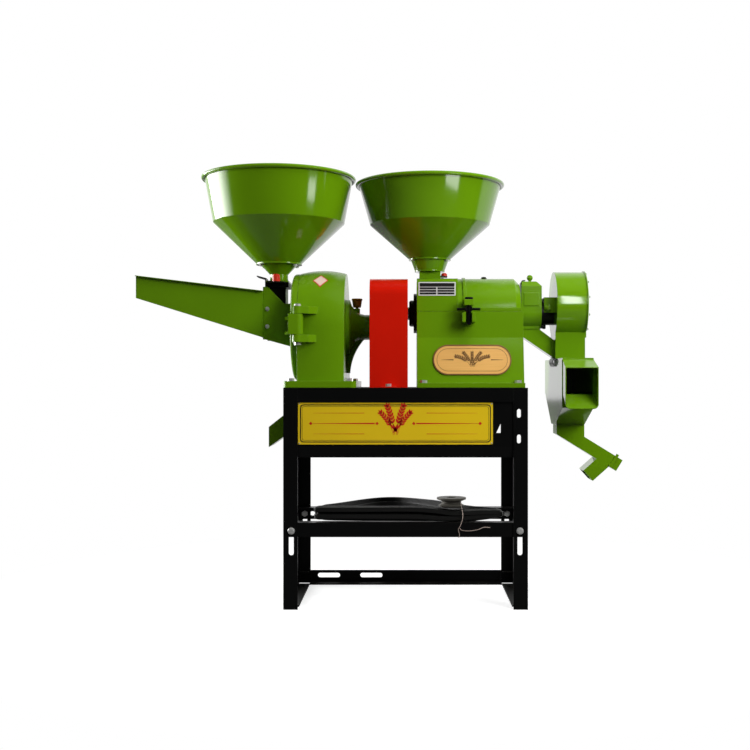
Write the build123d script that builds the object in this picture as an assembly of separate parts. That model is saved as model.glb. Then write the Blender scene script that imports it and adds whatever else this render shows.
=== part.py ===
from build123d import *
import math
import os

# Combined rice mill and tooth crusher on an angle-iron frame.
# Millimetres. +X runs to the fan end, +Y to the back, +Z up from the floor.
# The origin is the middle of the frame's footprint on the floor.

# Clearances
press_gap = 0.05
running_gap = 0.05
face_gap = 0.4
bolt_gap = 0.5
loose_gap = 2
fuse_depth = 2

# Frame
frame_length = 612
frame_depth = 370
table_height = 555
angle_leg = 36
angle_wall = 4
panel_height = 171
panel_sheet = 2
panel_bend = 27
panel_lean = 6
panel_return = 14
switch_slot_height = 22
switch_slot_width = 10
switch_slot_inset = 22.5
switch_slot_drops = (64, 128)
cable_hole_inset = 68
cable_hole_width = 11
cable_hole_height = 23
cable_hole_drop = 113
floor_hole_radius = 6
floor_hole_inset = 39

# Bolts that hold the feet down
base_bolt_radius = 5
base_bolt_head = 7
hex_ratio = 1.8

# Shelf for the motor
shelf_height = 217
shelf_slot_width = 12.5
shelf_slot_length = 72
shelf_bolt_radius = 5
shelf_bolt_drop = 20
shelf_travel = 50
head_radius = 9
head_height = 6
nut_height = 7
motor_slot_length = 63
motor_slot_width = 13
motor_slot_spacing = 120
motor_slot_inset = 112
motor_slot_rise = 21.6
rail_window_inset = 22
rail_window_length = 14

# Belts and loose pulley lying on the shelf
belt_width = 17
belt_thick = 12
belt_length = 460
belt_inset = 22
belt_layers = 3
loose_pulley_radius = 37
loose_pulley_height = 24
loose_pulley_bore = 12
loose_pulley_x = 116

# Crusher
crusher_centre = -217
crusher_width = 120
crusher_crown = 150
crusher_edge = 142
crusher_axis_rise = 160
crusher_wall = 12
crusher_bore = 131
crusher_base_length = 184
crusher_base_inset = 20
crusher_base_thick = 17
crusher_bolt_x = 73
crusher_bolt_inset = 28
crusher_mouth_length = 88
crusher_mouth_depth = 116
crusher_shaft_radius = 15
sieve_radius = 121
sieve_sheet = 2
sieve_slots = 24
sieve_slot_width = 7

# Crusher rotor and fixed teeth
rotor_radius = 112
rotor_thick = 12
rotor_setback = 37
rotor_hub_radius = 26
rotor_hub_length = 34
tooth_length = 25
tooth_radial = 9
tooth_along = 13
tooth_taper = 4
rotor_ring_radii = (44, 78, 106)
rotor_tooth_counts = (6, 10, 12)
stator_ring_radii = (61, 94)
stator_tooth_counts = (8, 14)
stator_radius = 112
stator_thick = 6
feed_hole_radius = 34
shaft_nut_radius = 20
shaft_nut_height = 12
shaft_tail = 4

# Crusher bearing arm
arm_length = 63
arm_flange_radius = 73
arm_neck_radius = 33.5
arm_web_thick = 16
arm_web_drop = 122
arm_web_toe = 9
arm_web_hollow = 0.3
bearing_radius = 26
bearing_width = 16
grease_x = 27
grease_boss_radius = 8
grease_boss_height = 50
grease_cup_radius = 10
grease_cup_height = 26
grease_stem_radius = 4
grease_stem_length = 12
grease_foot = 5
grease_chamfer = 3

# Crusher door
door_thick = 18
door_floor_gap = 2
door_rim = 8
hinge_inset = 5
hinge_offset = 23
hinge_pin_radius = 6
hinge_barrel_radius = 14
hinge_block_height = 52
hinge_lug_height = 19
lug_root = 4
door_rib_thick = 8
door_rib_height = 18
door_rib_spacing = 38
door_rib_run = 30
clamp_screw_radius = 6
clamp_lug_width = 28
clamp_lug_depth = 30
clamp_lug_setback = 4
clamp_lug_root = 10
clamp_entry = 18
clamp_knob_radius = 24
clamp_knob_thick = 16

# Feed inlet, neck, gates and trough
inlet_length = 73
inlet_half_width = 52
inlet_wall = 6
inlet_top_rise = 104
inlet_shoulder_rise = 60
inlet_drop_left = 34
inlet_drop_right = 54
inlet_shoulder = 23
neck_half_width = 30
neck_wall = 3
neck_half_length = 21
plate_half_length = 30
plate_half_width = 42
plate_thick = 9
gate_thick = 3
gate_slot = 4.2
guide_width = 7
feed_gate_length = 116
feed_gate_reach = 34
feed_gate_knob_radius = 10
feed_gate_knob_height = 20
trough_gate_half_width = 42
trough_gate_height = 106
trough_gate_top_rise = 130
trough_gate_lip = 22
guide_depth = 6
trough_length = 325
trough_far_half_width = 85
trough_near_half_width = 58
trough_near_bottom = -29
trough_near_top = 93
trough_far_bottom = 72
trough_far_top = 130
trough_sheet = 2
trough_hem = 10

# Hoppers
hopper_sheet = 2
hopper_bead = 5
hopper_flange = 6
feed_hopper_reach = 61
feed_hopper_rim = 205
feed_hopper_band = 196
feed_hopper_crease = 174
feed_hopper_foot = 61
feed_hopper_band_height = 122
feed_hopper_cone_height = 107
feed_collar_top = 49
feed_collar_throat = 24
feed_collar_cone = 26
feed_collar_neck = 19
collar_flange_thick = 4
mill_hopper_inset = 35
mill_hopper_rim = 198
mill_hopper_band = 189
mill_hopper_crease = 159
mill_hopper_foot = 56
mill_hopper_band_height = 110
mill_hopper_cone_height = 90
mill_collar_throat = 34
mill_collar_cone = 27
mill_neck_side = 56
mill_neck_height = 24
mill_neck_wall = 4
mill_gate_rise = 10
mill_gate_length = 62
mill_gate_knob_radius = 8
mill_gate_knob_height = 9

# Discharge chute of the crusher
chute_sheet = 2
chute_reach = 52
chute_half_width = 60
chute_end_top = 103
chute_end_height = 53
chute_throat = 26

# Belt guard
guard_arm_gap = 2
guard_mill_gap = 23.5
guard_inset = 45
guard_height = 280
guard_sheet = 1.5
guard_corner = 42
guard_slot = 24
guard_foot = 24
guard_foot_half = 20
guard_foot_thick = 3
guard_pulley_gap = 5
guard_bolt_radius = 4

# Mill body and lid
mill_left = 29
mill_length = 275
mill_axis_rise = 197
mill_half_depth = 95
mill_foot_inset = 43
mill_foot_ledge = 22
mill_foot_thick = 12
mill_knee = 129
mill_wall = 12
mill_bore = 60
mill_shaft_radius = 17.5
mill_bearing_radius = 28
mill_bolt_inset = 17
mill_bolt_edge = 12
bran_length = 150
bran_half_depth = 40
bran_inset = 22
lid_box_length = 106
lid_box_rise = 86
lid_corner = 14
lid_barrel_radius = 92
lid_end_gap = 4
lid_chamfer = 14
lid_rib_inset = 14
lid_rib_width = 8
lid_rib_proud = 3
lid_seam_height = 9
lid_pin_radius = 5
lid_pin_head_edge = 2.5
lid_knuckle_radius = 8
lid_knuckle_length = 30
lid_knuckle_offset = 9
lid_knuckle_insets = (56, 216)
outlet_bore = 42

# Lid clamp screw
lid_clamp_inset = 132
lid_clamp_reach = 33
lid_clamp_radius = 6
lid_clamp_edge = 6
lid_clamp_tail = 6
clamp_collar_half = 6
clamp_collar_wall = 3
lid_clamp_bar = 59
lid_clamp_bar_radius = 3.5
lid_lug_width = 24
lid_lug_low = 13
lid_lug_high = 28
body_lug_width = 34
body_lug_low = -30
body_lug_high = -6
lid_clamp_cap_radius = 11
lid_clamp_cap_height = 6

# Mill rotor
roller_radius = 46
roller_core = 40
roller_ribs = 6
roller_rib_width = 8
roller_inset = 103
roller_length = 152
screw_inset = 17
screw_pitch = 42
screw_radius = 54
screw_thick = 6
screw_core = 28
mill_pulley_radius = 70
crusher_pulley_radius = 62
pulley_width = 38
pulley_bore_hub = 30
groove_depth = 12
groove_width = 15
groove_count = 2
pulley_rim_wall = 7
rice_screen_radius = 57.5
rice_screen_sheet = 2
screen_slot_rows = 7
screen_slot_columns = 4
screen_slot_width = 3.4
screen_slot_pitch = 16
screen_overlap = 6
screen_drop = 22
knife_reach = 8
knife_thick = 7
knife_depth = 24
knife_end_inset = 12
mill_flange_radius = 52.5
mill_flange_thick = 8
mill_hub_radius = 35
mill_hub_length = 12
mill_hub_chamfer = 4
mill_hub_wall = 3

# Outlet head and pressure gate
outlet_length = 54
outlet_half_width = 43
outlet_box_rise = 70
outlet_roof_rise = 83
outlet_wall = 6
outlet_panel_side = 40
outlet_panel_proud = 1.5
outlet_ridge_inset = 3
outlet_foot_half_length = 23
outlet_foot_half_width = 26
pressure_gate_thick = 5
pressure_gate_half_width = 34
pressure_gate_low = -14
pressure_gate_high = 40
pressure_stem_radius = 4
pressure_knob_radius = 8
pressure_knob_rise = 95

# Fan, rice chute and separator
fan_bearing_radius = 31
fan_bearing_flange = 40
fan_bearing_length = 35
fan_flange_thick = 6
saddle_thick = 9
saddle_half_width = 40
fan_length = 78
fan_radius = 88
fan_rise = 22
fan_sheet = 2
fan_duct_half_width = 48
fan_duct_drop = 122
fan_cover_lip = 3
fan_cover_thick = 3
fan_inlet_radius = 42
impeller_radius = 58
impeller_hub_radius = 26
impeller_blades = 6
impeller_blade_thick = 3
impeller_gap = 8
rice_chute_half_width = 24
rice_chute_sheet = 2
rice_chute_mouth_top = 72
rice_chute_mouth_bottom = 120
separator_sheet = 2
separator_front = 180
separator_back = 168
separator_rear_drop = 90
separator_front_drop = 125
separator_depth = 173
separator_neck_half = 36
hood_length = 50
hood_mouth_top = 24
hood_mouth_bottom = 127
hood_back_top = 4
hood_back_bottom = 93
hood_flare = 4
hood_mouth_corner = 12
hood_back_corner = 4

# Divided spout and its flap
spout_sheet = 2
spout_neck_inset = 5
spout_neck_drop = 32
spout_slope = 31.6
spout_depth = 33
spout_reach = 101
branch_slope = 41.8
branch_width = 37
branch_reach = 46
branch_offset = 61
flap_thick = 2.5
flap_length = 37
flap_shaft_radius = 3
flap_lever = 34
flap_lever_thick = 4

# Worked-out places
half_length = frame_length / 2
half_depth = frame_depth / 2
inner_half_length = half_length - angle_wall
inner_half_depth = half_depth - angle_wall
flange_y = half_depth - angle_leg
motor_slot_centre = motor_slot_inset - half_length + angle_leg
belt_depth = frame_depth - 2 * belt_inset
crusher_base_half = half_depth - crusher_base_inset
crusher_bolt_y = half_depth - crusher_bolt_inset
crusher_axis = table_height + crusher_axis_rise
crusher_face = crusher_centre - crusher_width / 2
crusher_back = crusher_centre + crusher_width / 2
hinge_x = crusher_face + hinge_inset
hinge_y = -crusher_edge - hinge_offset
feed_hopper_x = crusher_face - feed_hopper_reach
door_inner = crusher_face - face_gap
door_outer = door_inner - door_thick
rotor_face = crusher_face + rotor_setback
door_radius = crusher_axis_rise - crusher_base_thick - door_floor_gap
arm_end = crusher_back + arm_length
mill_axis = table_height + mill_axis_rise
mill_right = mill_left + mill_length
mill_foot_half_depth = half_depth - mill_foot_inset
mill_base_half_depth = mill_foot_half_depth - mill_foot_ledge
mill_bolt_y = mill_foot_half_depth - mill_bolt_edge
mill_hopper_x = mill_left + mill_hopper_inset
roller_left = mill_left + roller_inset
screw_left = mill_left + screw_inset
inlet_left = door_outer - inlet_length
plate_top = crusher_axis + inlet_top_rise + plate_thick
feed_gate_level = plate_top + (gate_slot - gate_thick) / 2
collar_level = plate_top + gate_slot
feed_collar_height = 2 * collar_flange_thick + feed_collar_neck + feed_collar_cone
feed_hopper_level = collar_level + feed_collar_height
lid_top = mill_axis + lid_box_rise
mill_neck_top = lid_top + mill_neck_height
mill_hopper_level = mill_neck_top + collar_flange_thick + mill_collar_cone + collar_flange_thick
lid_pin_y = mill_half_depth + lid_knuckle_offset
lid_clamp_x = mill_left + lid_clamp_inset
lid_clamp_y = -mill_half_depth - lid_clamp_reach
guard_left = arm_end + guard_arm_gap
guard_right = mill_left - guard_mill_gap
guard_length = guard_right - guard_left
guard_half_depth = half_depth - guard_inset
outlet_left = mill_right
outlet_right = outlet_left + outlet_length
fan_left = outlet_right + fan_bearing_length
fan_right = fan_left + fan_length
fan_axis = mill_axis + fan_rise
separator_top = mill_axis - fan_duct_drop
separator_floor = separator_top - separator_depth
shelf_bolt_height = shelf_height - shelf_bolt_drop
shelf_bolt_x = half_length - (angle_leg + angle_wall) / 2
crusher_rail_x = crusher_centre + crusher_base_length / 2 - angle_leg
crusher_pulley_left = guard_left + guard_sheet + guard_pulley_gap
mill_pulley_right = guard_right - guard_sheet - guard_pulley_gap


# Shapes used again and again
def block(x, y, z):
    """Box between pairs of X, Y and Z values."""
    middle = [(low + high) / 2 for low, high in (x, y, z)]
    return Pos(*middle) * Box(x[1] - x[0], y[1] - y[0], z[1] - z[0])


def rod(start, end, radius):
    """Round bar between two points."""
    way = Vector(*end) - Vector(*start)
    return extrude(Plane(origin=start, z_dir=way) * Circle(radius), amount=way.length)


def rod_x(x, radius, height, y=0):
    return rod((x[0], y, height), (x[1], y, height), radius)


def rod_z(z, radius, x, y=0):
    return rod((x, y, z[0]), (x, y, z[1]), radius)


def turned_x(points, height):
    """Solid turned about a shaft line along X, from (x, radius) points."""
    profile = make_face(Polyline(*[(x, 0, height + radius) for x, radius in points], close=True))
    return revolve(profile, Axis((0, 0, height), (1, 0, 0)))


def turned_z(points, x):
    """Solid turned about an upright line at Y = 0, from (radius, z) points."""
    profile = make_face(Polyline(*[(x + radius, 0, z) for radius, z in points], close=True))
    return revolve(profile, Axis((x, 0, 0), (0, 0, 1)))


def prism_x(points, x):
    """Profile of (y, z) points drawn out along X."""
    profile = make_face(Polyline(*[(x[0], y, z) for y, z in points], close=True))
    return extrude(profile, amount=x[1] - x[0], dir=(1, 0, 0))


def prism_y(points, y):
    """Profile of (x, z) points drawn out along Y."""
    profile = make_face(Polyline(*[(x, y[0], z) for x, z in points], close=True))
    return extrude(profile, amount=y[1] - y[0], dir=(0, 1, 0))


def prism_z(points, z):
    """Profile of (x, y) points drawn out along Z."""
    profile = make_face(Polyline(*[(x, y, z[0]) for x, y in points], close=True))
    return extrude(profile, amount=z[1] - z[0], dir=(0, 0, 1))


def duct_y(points, y, sheet):
    """Sheet duct with an outline of (x, z) points and a cheek at each Y value."""
    inner = (y[0] + sheet, y[1] - sheet)
    outline = make_face(Polyline(*[(x, inner[0], z) for x, z in points], close=True))
    hollow = extrude(
        offset(outline, amount=-sheet, kind=Kind.INTERSECTION), amount=inner[1] - inner[0], dir=(0, 1, 0)
    )
    return prism_y(points, y) - hollow


def duct_x(points, x, sheet):
    """Sheet duct with an outline of (y, z) points and a cheek at each X value."""
    inner = (x[0] + sheet, x[1] - sheet)
    outline = make_face(Polyline(*[(inner[0], y, z) for y, z in points], close=True))
    hollow = extrude(
        offset(outline, amount=-sheet, kind=Kind.INTERSECTION), amount=inner[1] - inner[0], dir=(1, 0, 0)
    )
    return prism_x(points, x) - hollow


def slot_y(x, z, length, width, y, upright):
    """Cutter for a round-ended slot through a plate that stands along X."""
    middle = (y[0] + y[1]) / 2
    outline = SlotOverall(length, width, rotation=90 if upright else 0)
    return Pos(x, middle, z) * Rot(90, 0, 0) * extrude(outline, amount=(y[1] - y[0]) / 2, both=True)


def hex_bolt(radius, head, x, y, seat, below):
    """Upright bolt: six-sided head on a seat, shank and nut under a plate."""
    top = Pos(x, y, seat) * extrude(RegularPolygon(radius * hex_ratio, 6), amount=head)
    nut = Pos(x, y, below - head) * extrude(RegularPolygon(radius * hex_ratio, 6), amount=head)
    return top + rod_z((below - head, seat), radius, x, y) + nut


def loft_rectangles(low, high):
    """Straight-sided duct between two rectangles given as lists of corner points."""
    return loft([make_face(Polyline(*low, close=True)), make_face(Polyline(*high, close=True))], ruled=True)


def ring_points(centre, radius, count, start=0):
    """Points and angles spaced evenly round a shaft line along X."""
    for index in range(count):
        angle = math.radians(start + 360 / count * index)
        yield centre + radius * math.sin(angle), radius * math.cos(angle), angle


# Frame pieces
def leg(front, right):
    """Upright angle iron with the slot that the shelf bolts slide in."""
    corner = [
        (0, 0),
        (angle_leg, 0),
        (angle_leg, angle_wall),
        (angle_wall, angle_wall),
        (angle_wall, angle_leg),
        (0, angle_leg),
    ]
    upright = prism_z(
        [(x - half_length, y - half_depth) for x, y in corner], (0, table_height - angle_wall)
    )
    slot_middle = shelf_bolt_height - shelf_travel / 2
    plate = (-half_depth - 1, -inner_half_depth + 1)
    upright -= slot_y(-shelf_bolt_x, slot_middle, shelf_slot_length, shelf_slot_width, plate, True)
    if right:
        upright = mirror(upright, about=Plane.YZ)
    if front and right:
        upright -= switch_slots(plate)
    if not front:
        upright = mirror(upright, about=Plane.XZ)
    return upright


def switch_slots(plate):
    """Pair of slots for a switch box in the right front corner."""
    return [
        slot_y(
            half_length - switch_slot_inset,
            table_height - drop,
            switch_slot_height,
            switch_slot_width,
            plate,
            True,
        )
        for drop in switch_slot_drops
    ]


def table_long_rail():
    """Front rail of the table: its upright flange stops at the legs."""
    flat = block(
        (-half_length, half_length), (-half_depth, -flange_y), (table_height - angle_wall, table_height)
    )
    face = block(
        (-half_length + angle_leg, half_length - angle_leg),
        (-half_depth, -inner_half_depth),
        (table_height - angle_leg, table_height - angle_wall),
    )
    return flat + face


def cross_rail(x, face_x):
    """Angle iron across the table between the long rails."""
    flat = block((x, x + angle_leg), (-flange_y, flange_y), (table_height - angle_wall, table_height))
    face = block(
        (face_x, face_x + angle_wall),
        (-flange_y, flange_y),
        (table_height - angle_leg, table_height - angle_wall),
    )
    return flat + face


def front_panel():
    """Bent sheet behind the front legs and rail, its foot leaning inwards."""
    front = -inner_half_depth
    back = front + panel_sheet
    top = table_height - angle_wall
    bend = top - panel_height + panel_bend
    foot = top - panel_height
    outline = [
        (front, top),
        (back, top),
        (back, bend),
        (back + panel_lean, foot + panel_sheet),
        (front + panel_lean + panel_return, foot + panel_sheet),
        (front + panel_lean + panel_return, foot),
        (front + panel_lean, foot),
        (front, bend),
    ]
    panel = prism_x(outline, (-inner_half_length, inner_half_length))
    depth = (front - 1, back + 1)
    hole_right = half_length - cable_hole_inset
    hole_low = table_height - cable_hole_drop
    hole = [
        (hole_right, hole_low),
        (hole_right, hole_low + cable_hole_height),
        (hole_right - cable_hole_width, hole_low),
    ]
    return panel - switch_slots(depth) - prism_y(hole, depth)


def shelf_rail():
    """Front rail of the motor shelf, with bolt holes at the leg slots."""
    reach = inner_half_length - face_gap
    front = -inner_half_depth + face_gap
    face = block((-reach, reach), (front, front + angle_wall), (shelf_height - angle_leg, shelf_height))
    flat = block(
        (-reach, reach),
        (front + angle_wall, front + angle_leg),
        (shelf_height - angle_wall, shelf_height),
    )
    holes = [
        rod((side * shelf_bolt_x, front - 1, shelf_bolt_height),
            (side * shelf_bolt_x, front + angle_wall + 1, shelf_bolt_height), shelf_bolt_radius + bolt_gap)
        for side in (-1, 1)
    ]
    return face + flat - holes


def shelf_bolt(x):
    """Round-headed bolt through a front leg's slot, nut behind the rail."""
    head_back = -half_depth - face_gap
    nut_front = -inner_half_depth + face_gap + angle_wall
    head = rod(
        (x, head_back - head_height, shelf_bolt_height), (x, head_back, shelf_bolt_height), head_radius
    )
    head = fillet(head.faces().sort_by(Axis.Y)[0].edges(), head_height * 0.7)
    shank = rod(
        (x, head_back, shelf_bolt_height), (x, nut_front + nut_height, shelf_bolt_height), shelf_bolt_radius
    )
    nut_plane = Plane((x, nut_front, shelf_bolt_height), z_dir=(0, 1, 0))
    nut = extrude(nut_plane * RegularPolygon(head_radius, 6), amount=nut_height)
    return head + shank + nut


def floor_rear_rail():
    """Angle iron between the rear feet, slotted for a motor base."""
    reach = half_length - angle_leg
    face = block((-reach, reach), (inner_half_depth, half_depth), (0, angle_leg))
    flat = block((-reach, reach), (flange_y, inner_half_depth), (0, angle_wall))
    plate = (inner_half_depth - 1, half_depth + 1)
    slots = [
        slot_y(motor_slot_centre + side * motor_slot_spacing / 2, motor_slot_rise,
               motor_slot_length, motor_slot_width, plate, False)
        for side in (-1, 1)
    ]
    return face + flat - slots


def floor_side_rail():
    """Left floor rail with the two anchor holes in its flat flange."""
    face = block((-half_length, -inner_half_length), (-flange_y, flange_y), (0, angle_leg))
    flat = block((-inner_half_length, -half_length + angle_leg), (-flange_y, flange_y), (0, angle_wall))
    hole_x = -half_length + (angle_leg + angle_wall) / 2
    holes = [
        rod_z((-1, angle_wall + 1), floor_hole_radius, hole_x, side * (flange_y - floor_hole_inset))
        for side in (-1, 1)
    ]
    return face + flat - holes


crusher_bolts = [
    (crusher_centre + sx * crusher_bolt_x, sy * crusher_bolt_y) for sx in (-1, 1) for sy in (-1, 1)
]
mill_bolts = [
    (x, sy * mill_bolt_y) for x in (
        mill_left + mill_bolt_inset, mill_right - mill_bolt_inset
    ) for sy in (-1, 1)
]
guard_bolts = [
    ((guard_left + guard_right) / 2, sy * (guard_half_depth + guard_foot * 0.65)) for sy in (-1, 1)
]


def bolt_holes(places, radius, z):
    return [rod_z(z, radius + bolt_gap, x, y) for x, y in places]


def bolt_row(places, radius, plate):
    """Bolts that hold a foot of the given thickness down on the table."""
    seat = table_height + plate
    below = table_height - angle_wall
    return [hex_bolt(radius, base_bolt_head, x, y, seat, below) for x, y in places]


table_plate = (table_height - angle_wall - 1, table_height + 1)
table_holes = bolt_holes(crusher_bolts + mill_bolts, base_bolt_radius, table_plate)
table_holes += bolt_holes(guard_bolts, guard_bolt_radius, table_plate)

rail_front = table_long_rail()
rail_side_left = cross_rail(-half_length, -half_length)
cross_rails = [
    rail_side_left,
    mirror(rail_side_left, about=Plane.YZ),
    cross_rail(crusher_rail_x, crusher_rail_x + angle_leg - angle_wall),
    cross_rail(mill_left, mill_left),
]
side_floor_rail = floor_side_rail()
shelf_front = shelf_rail()
shelf_front_bolts = [shelf_bolt(side * shelf_bolt_x) for side in (-1, 1)]
rail_window = slot_y(
    rail_window_inset - shelf_bolt_x,
    shelf_bolt_height,
    rail_window_length,
    shelf_slot_width,
    (inner_half_depth - face_gap - angle_wall - 1, inner_half_depth),
    False,
)
base_bolts = bolt_row(crusher_bolts, base_bolt_radius, crusher_base_thick)
base_bolts += bolt_row(mill_bolts, base_bolt_radius, mill_foot_thick)
base_bolts += bolt_row(guard_bolts, guard_bolt_radius, guard_foot_thick)

pieces = {
    "leg_front_left": leg(True, False),
    "leg_front_right": leg(True, True),
    "leg_rear_left": leg(False, False),
    "leg_rear_right": leg(False, True),
    "table_rail_front": rail_front - table_holes,
    "table_rail_rear": mirror(rail_front, about=Plane.XZ) - table_holes,
    "table_cross_rails": Compound([rail - table_holes for rail in cross_rails]),
    "front_panel": front_panel(),
    "floor_rails": Compound([floor_rear_rail(), side_floor_rail, mirror(side_floor_rail, about=Plane.YZ)]),
    "shelf_rail_front": shelf_front,
    "shelf_rail_rear": mirror(shelf_front, about=Plane.XZ) - rail_window,
    "shelf_bolts": Compound(
        shelf_front_bolts + [mirror(bolt, about=Plane.XZ) for bolt in shelf_front_bolts]
    ),
    "base_bolts": Compound(base_bolts),
}


# Belts and pulley on the shelf
def belt_loop(layer):
    """One closed belt lying flat: a long round-ended ring."""
    outer = SlotOverall(belt_length, belt_depth)
    inner = SlotOverall(belt_length - 2 * belt_width, belt_depth - 2 * belt_width)
    return Pos(0, 0, shelf_height + layer * belt_thick) * extrude(outer - inner, amount=belt_thick)


def pulley(left, radius, bore, height, grooves):
    """Pulley on a shaft along X with V grooves turned into its rim."""
    right = left + pulley_width
    wheel = turned_x([(left, bore), (left, radius), (right, radius), (right, bore)], height)
    pitch = pulley_width / grooves
    for index in range(grooves):
        middle = left + pitch * (index + 0.5)
        half = groove_width / 2
        floor = half * 0.55
        wheel -= turned_x(
            [
                (middle - half, radius + 1),
                (middle - floor, radius - groove_depth),
                (middle + floor, radius - groove_depth),
                (middle + half, radius + 1),
            ],
            height,
        )
    return wheel


def pulley_recess(left, radius, height):
    """Ring hollow in a pulley's face, between hub and rim."""
    rim = radius - groove_depth - pulley_rim_wall
    return rod_x((left, left + pulley_width * 0.3), rim, height) - rod_x(
        (left, left + pulley_width * 0.3), pulley_bore_hub, height
    )


def loose_pulley():
    """Small motor pulley lying flat, one V groove."""
    low = shelf_height + belt_layers * belt_thick
    high = low + loose_pulley_height
    middle = (low + high) / 2
    rim = loose_pulley_radius
    half = loose_pulley_height * 0.32
    profile = [
        (loose_pulley_bore, low),
        (rim * 0.78, low),
        (rim * 0.9, middle - half),
        (rim - groove_depth, middle - half * 0.4),
        (rim - groove_depth, middle + half * 0.4),
        (rim, middle + half),
        (rim, high),
        (loose_pulley_bore, high),
    ]
    return Pos(0, -belt_depth / 2 + belt_width, 0) * turned_z(profile, loose_pulley_x)


pieces["spare_belts"] = Compound([belt_loop(layer) for layer in range(belt_layers)])
pieces["spare_pulley"] = loose_pulley()


# Crusher
def crowned_half():
    """Half outline of the drum in plan: straight ends and a crowned rim."""
    return [
        Line((crusher_face, 0), (crusher_face, crusher_edge)),
        ThreePointArc(
            (crusher_face, crusher_edge), (crusher_centre, crusher_crown), (crusher_back, crusher_edge)
        ),
        Line((crusher_back, crusher_edge), (crusher_back, 0)),
        Line((crusher_back, 0), (crusher_face, 0)),
    ]


def hinge_barrel(low, high, radius):
    return rod_z((low, high), radius, hinge_x, hinge_y)


def hinge_lug(low):
    """Housing lug: a barrel round the pin and an arm to the drum wall."""
    high = low + hinge_lug_height
    arm = prism_z(
        [
            (hinge_x, hinge_y - hinge_barrel_radius),
            (hinge_x + 2 * hinge_barrel_radius, hinge_y - hinge_barrel_radius * 0.4),
            (crusher_centre, -crusher_edge + lug_root),
            (hinge_x, -crusher_edge + lug_root),
        ],
        (low, high),
    )
    return hinge_barrel(low, high, hinge_barrel_radius) + arm


def crusher_housing():
    half_plan = make_face(crowned_half())
    plan = half_plan + mirror(half_plan, about=Plane.XZ)
    drum = Pos(0, 0, crusher_axis) * revolve(half_plan, Axis.X)
    walls = Pos(0, 0, table_height) * extrude(plan, amount=crusher_axis_rise)
    half_base = crusher_base_length / 2
    base = block(
        (crusher_centre - half_base, crusher_centre + half_base),
        (-crusher_base_half, crusher_base_half),
        (table_height, table_height + crusher_base_thick),
    )
    base = fillet(base.edges().filter_by(Axis.Z), crusher_base_thick * 0.8)
    body = drum + walls + base
    body -= block((-frame_length, frame_length), (-frame_depth, frame_depth), (0, table_height))
    block_low = crusher_axis - hinge_block_height / 2
    block_high = crusher_axis + hinge_block_height / 2
    body += hinge_lug(block_high + face_gap)
    body += hinge_lug(block_low - face_gap - hinge_lug_height)
    body += clamp_lug()
    body -= rod_x((crusher_face - 1, crusher_back - crusher_wall), crusher_bore, crusher_axis)
    body -= rod_x((crusher_face, crusher_back + 1), crusher_shaft_radius + loose_gap, crusher_axis)
    half_mouth = crusher_mouth_length / 2
    body -= block(
        (crusher_centre - half_mouth, crusher_centre + half_mouth),
        (-crusher_mouth_depth / 2, crusher_mouth_depth / 2),
        (table_height - 1, crusher_axis - crusher_bore * 0.75),
    )
    body -= hinge_barrel(
        block_low - crusher_axis_rise / 2, block_high + crusher_axis_rise / 2, hinge_pin_radius + press_gap
    )
    body -= bolt_holes(
        crusher_bolts, base_bolt_radius, (table_height - 1, table_height + crusher_base_thick + 1)
    )
    return body


def clamp_y():
    return -hinge_y


def clamp_lug():
    """Lug at the back of the drum that the door's clamp screw enters."""
    half = clamp_lug_width / 2
    near = crusher_face + clamp_lug_setback
    lug = block(
        (near, near + clamp_lug_depth),
        (crusher_edge - clamp_lug_root, clamp_y()),
        (crusher_axis - half, crusher_axis + half),
    )
    lug += rod_x((near, near + clamp_lug_depth), half, crusher_axis, clamp_y())
    return lug - rod_x(
        (near - 1, near + clamp_lug_depth + 1),
        clamp_screw_radius + loose_gap,
        crusher_axis,
        clamp_y(),
    )


def hinge_pin():
    low = crusher_axis - hinge_block_height / 2 - face_gap - hinge_lug_height
    high = crusher_axis + hinge_block_height / 2 + face_gap + hinge_lug_height
    pin = hinge_barrel(low - nut_height, high, hinge_pin_radius)
    head = hinge_barrel(high, high + head_height, head_radius)
    head = fillet(head.faces().sort_by(Axis.Z)[-1].edges(), head_height / 2)
    nut = Pos(hinge_x, hinge_y, low - nut_height) * extrude(
        RegularPolygon(head_radius, 6), amount=nut_height
    )
    return pin + head + nut


def sieve_ring():
    """Perforated ring round the rotor, seated on the back wall."""
    left = crusher_face + loose_gap
    right = crusher_back - crusher_wall
    ring = rod_x((left, right), sieve_radius, crusher_axis) - rod_x(
        (left - 1, right + 1), sieve_radius - sieve_sheet, crusher_axis
    )
    margin = (right - left) * 0.12
    slots = []
    for z, y, angle in ring_points(crusher_axis, sieve_radius, sieve_slots):
        cutter = Box(right - left - 2 * margin, sieve_sheet * 6, sieve_slot_width)
        slots.append(Pos((left + right) / 2, y, z) * Rot(math.degrees(angle), 0, 0) * cutter)
    return ring - slots


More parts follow.
